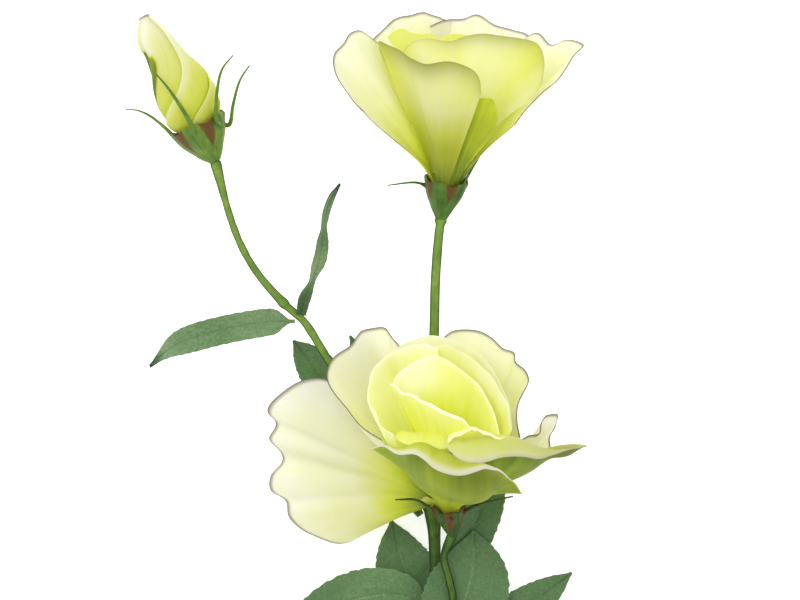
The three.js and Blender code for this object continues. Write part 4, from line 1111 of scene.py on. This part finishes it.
# A leaf's shade runs from its base to its tip and is partly painted shade: its near black tip, and the
# twisted leaf's darker stretches, are where it turns from the light.
LEAVES = [
    dict(name="branch_left_leaf", half=3.9, fold=8, wave=0.5, turn=(10, 5, 0, 5, 55),
         shade=(0.76,) * 9 + (0.05,),
         shape=(0.14, 0.16, 0.5, 0.88, 0.98, 1, 1, 1, 1, 0.98, 0.93, 0.82, 0.6, 0.32, 0.14),
         midrib=[(-39.2, 75.2, 17), (-44, 75.2, 17.5), (-54, 73.8, 16.5), (-64.8, 71.3, 13),
                 (-72, 68.6, 9.5), (-78.8, 62.9, 6)]),
    dict(name="branch_twisted_leaf", half=3.4, fold=10, wave=0.3,
         shade=(0.35, 0.45, 0.66, 0.85, 0.75, 0.6, 0.75, 0.7, 0.5, 0.0),
         turn=(20, 40, 78, 55, 62, 82, 68, 66, 75),
         shape=(0.4, 0.62, 0.8, 0.97, 1, 0.93, 0.8, 0.6, 0.2),
         midrib=[(-37.6, 76.9, 18), (-36.6, 82, 19), (-34.5, 87.4, 20.5), (-32.6, 93, 21.5),
                 (-32, 98.6, 22), (-31.4, 103.4, 22.2), (-29.6, 108.6, 22), (-27, 112.4, 21.4)]),
    dict(name="leaf_behind_branch", half=6.4, fold=12, wave=0.6, turn=(10, 8, 6), shade=(0.66, 0.6),
         midrib=[(-5.2, 22.5, 7.8), (-15, 37, 6.2), (-28.4, 55.4, 6.6), (-35.2, 64.4, 6.8),
                 (-39.8, 70, 5.6)]),
    dict(name="leaf_behind_bloom", half=5, fold=12, wave=0.5, turn=(-10, -8, -6), shade=(0.5, 0.5),
         midrib=[(-5.6, 30, 10), (-10.8, 44, 11.5), (-18.9, 60.6, 12.6), (-24.4, 71.4, 12.4)]),
    dict(name="leaf_behind_stalk", half=6.4, fold=20, wave=0.6, turn=(0, 10, 5), shade=(0.5, 0.7),
         midrib=[(1.4, -2, 8), (6, 11, 9), (10, 22, 10.5), (13.6, 33, 12), (16, 41, 12.6)]),
    dict(name="front_leaf", half=11.6, fold=8, wave=0.8, turn=(5, 0, -5), shade=(0.66, 0.6),
         midrib=[(1.2, -17.6, 7.9), (4.9, -5.4, 10.8), (8.8, 7, 11.6), (9.4, 18.6, 11)]),
    dict(name="upper_left_leaf", half=8.8, fold=8, wave=0.5, turn=(0, 0, 4), shade=(0.4, 0.56, 0.6),
         midrib=[(-1.9, -6, 5), (-6.2, 1.4, 3), (-10.2, 10, 3), (-13.2, 21, 2.6)]),
    dict(name="lower_left_leaf", half=8, fold=10, wave=0.8, turn=(5, 0, 0, 10), shade=(0.6, 0.66, 0.66),
         midrib=[(-2.2, -4, 8.6), (-10.8, 0.8, 9.4), (-23, -0.4, 8.6), (-35, -6.8, 6),
                 (-43.7, -14.8, 3.2)]),
    dict(name="right_leaf", half=6, fold=14, wave=0.6, turn=(-5, 0, 0, 5), shade=(0.55, 0.6, 0.6),
         midrib=[(2, -15, 5.8), (13.5, -8.6, 8.4), (25.6, -0.6, 9), (35.9, 7, 6.8)]),
]


def leaf_form(leaf, u, v, seed):
    """The middle surface of a leaf: u runs across it, v along its midrib."""
    midrib = smooth_line(leaf["midrib"])
    step = 1e-3
    tangent = unit(midrib(np.minimum(v + step, 1)) - midrib(np.maximum(v - step, 0)))
    flat = unit(np.cross(UP, tangent))
    angle = np.radians(evenly(leaf["turn"], v))[:, None]
    side = flat * np.cos(angle) + np.cross(tangent, flat) * np.sin(angle)
    normal = np.cross(tangent, side)
    out = 2 * u - 1
    across, along = np.meshgrid(out, v)
    jagged = LEAF_TOOTH * waves(along + 3 * (across > 0), seed, 6, 18, 60)
    tooth = 1 + (LEAF_TOOTH * np.cos(np.pi * LEAF_TEETH * along) + jagged) * across**4
    half = leaf["half"] * np.maximum(evenly(leaf.get("shape", LEAF_SHAPE), along), 0.04) * tooth
    wave = leaf["wave"] * np.sin(2 * np.pi * (LEAF_WAVES * along + np.sign(across) / 4)) * across**2
    phase = SIDE_VEINS * along - VEIN_SLANT * np.abs(across)
    veins = VEIN_DEPTH * np.cos(2 * np.pi * phase) * np.abs(across)
    veins = veins * (1 - across**2) - MIDRIB_DEPTH * np.exp(-(across / 0.08)**2)
    fold = math.radians(leaf["fold"])
    lift = np.abs(across) * half * math.sin(fold) + wave * np.sin(np.pi * along) + veins
    return (midrib(v)[:, None] + side[:, None] * (across * half * math.cos(fold))[..., None]
            + normal[:, None] * lift[..., None])


def grow_leaf(leaf, seed):
    """One leaf, in the place of its solid."""
    u = np.linspace(0, 1, 21)
    v = np.linspace(0, 1, 91)
    piece, row, column = grid_of("fine_" + leaf["name"], leaf_form(leaf, u, v, seed))
    paint(piece, "shade", evenly(leaf["shade"], v)[row])
    dress(piece, LEAF_SKIN, LEAF_SKIN)
    thicken(piece, LEAF_THICKNESS, np.ones(len(row)))
    settle(piece, "leaf", leaf["name"])


for seed, leaf in enumerate(LEAVES):
    grow_leaf(leaf, 40 + seed)
print("leaves:", len(LEAVES))


# %% [markdown]
# ## The table, the light and the camera
# The spray lies on a plain white table that glows a little, as a light table does, under large soft lamps,
# with more light from the upper left. The camera looks straight down from far away with a long lens, so that
# nothing looks slanted.

# %% The table
TABLE_SIZE = 6
TABLE_GLOW = 0.58
lowest = min(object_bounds()[0][2], 0.0)
bpy.ops.object.select_all(action="DESELECT")
bpy.ops.mesh.primitive_plane_add(size=TABLE_SIZE, location=(0, 0, lowest - 0.2 * MM))
table = bpy.context.object
table.name = "table"
table_paint, tree = new_material("table_white")
face = add(tree, "ShaderNodeBsdfDiffuse", None, {"Color": paint_of("#FCFCFC")})
shine = add(tree, "ShaderNodeEmission", None, {"Color": paint_of("#FFFFFF"), "Strength": TABLE_GLOW})
add_output(tree, add(tree, "ShaderNodeAddShader", None, {0: face, 1: shine}))
dress(table, table_paint)
print("table under", lowest)

# %% The lamps
ROOM_LIGHT = 0.57


def lamp(name, place, size, power):
    """A square lamp that faces the middle of the spray."""
    data = bpy.data.lights.new(name, "AREA")
    data.size = size
    data.energy = power
    made = bpy.data.objects.new(name, data)
    made.location = place
    made.rotation_euler = (-Vector(place)).to_track_quat("-Z", "Y").to_euler()
    bpy.context.scene.collection.objects.link(made)


lamp("window", (-0.6, 0.7, 1.7), 1.4, 17)
lamp("fill", (1.0, -0.5, 1.5), 1.5, 7)
print("lamps:", [light.name for light in bpy.data.lights])
world = bpy.data.worlds.new("room")
world.use_nodes = True
world.node_tree.nodes["Background"].inputs["Color"].default_value = (1, 1, 1, 1)
world.node_tree.nodes["Background"].inputs["Strength"].default_value = ROOM_LIGHT
bpy.context.scene.world = world
bpy.context.scene.view_settings.view_transform = "Standard"

# %% The camera
CAMERA_TARGET = (11.91 * MM, 36.46 * MM, 20 * MM)
CAMERA_HEIGHT = 2.4
camera_data = bpy.data.cameras.new("camera")
camera_data.lens = 400
camera_data.sensor_width = 36
camera = bpy.data.objects.new("camera", camera_data)
camera.location = (CAMERA_TARGET[0], CAMERA_TARGET[1], CAMERA_TARGET[2] + CAMERA_HEIGHT)
bpy.context.scene.collection.objects.link(camera)
bpy.context.scene.camera = camera
print("camera:", camera.location)
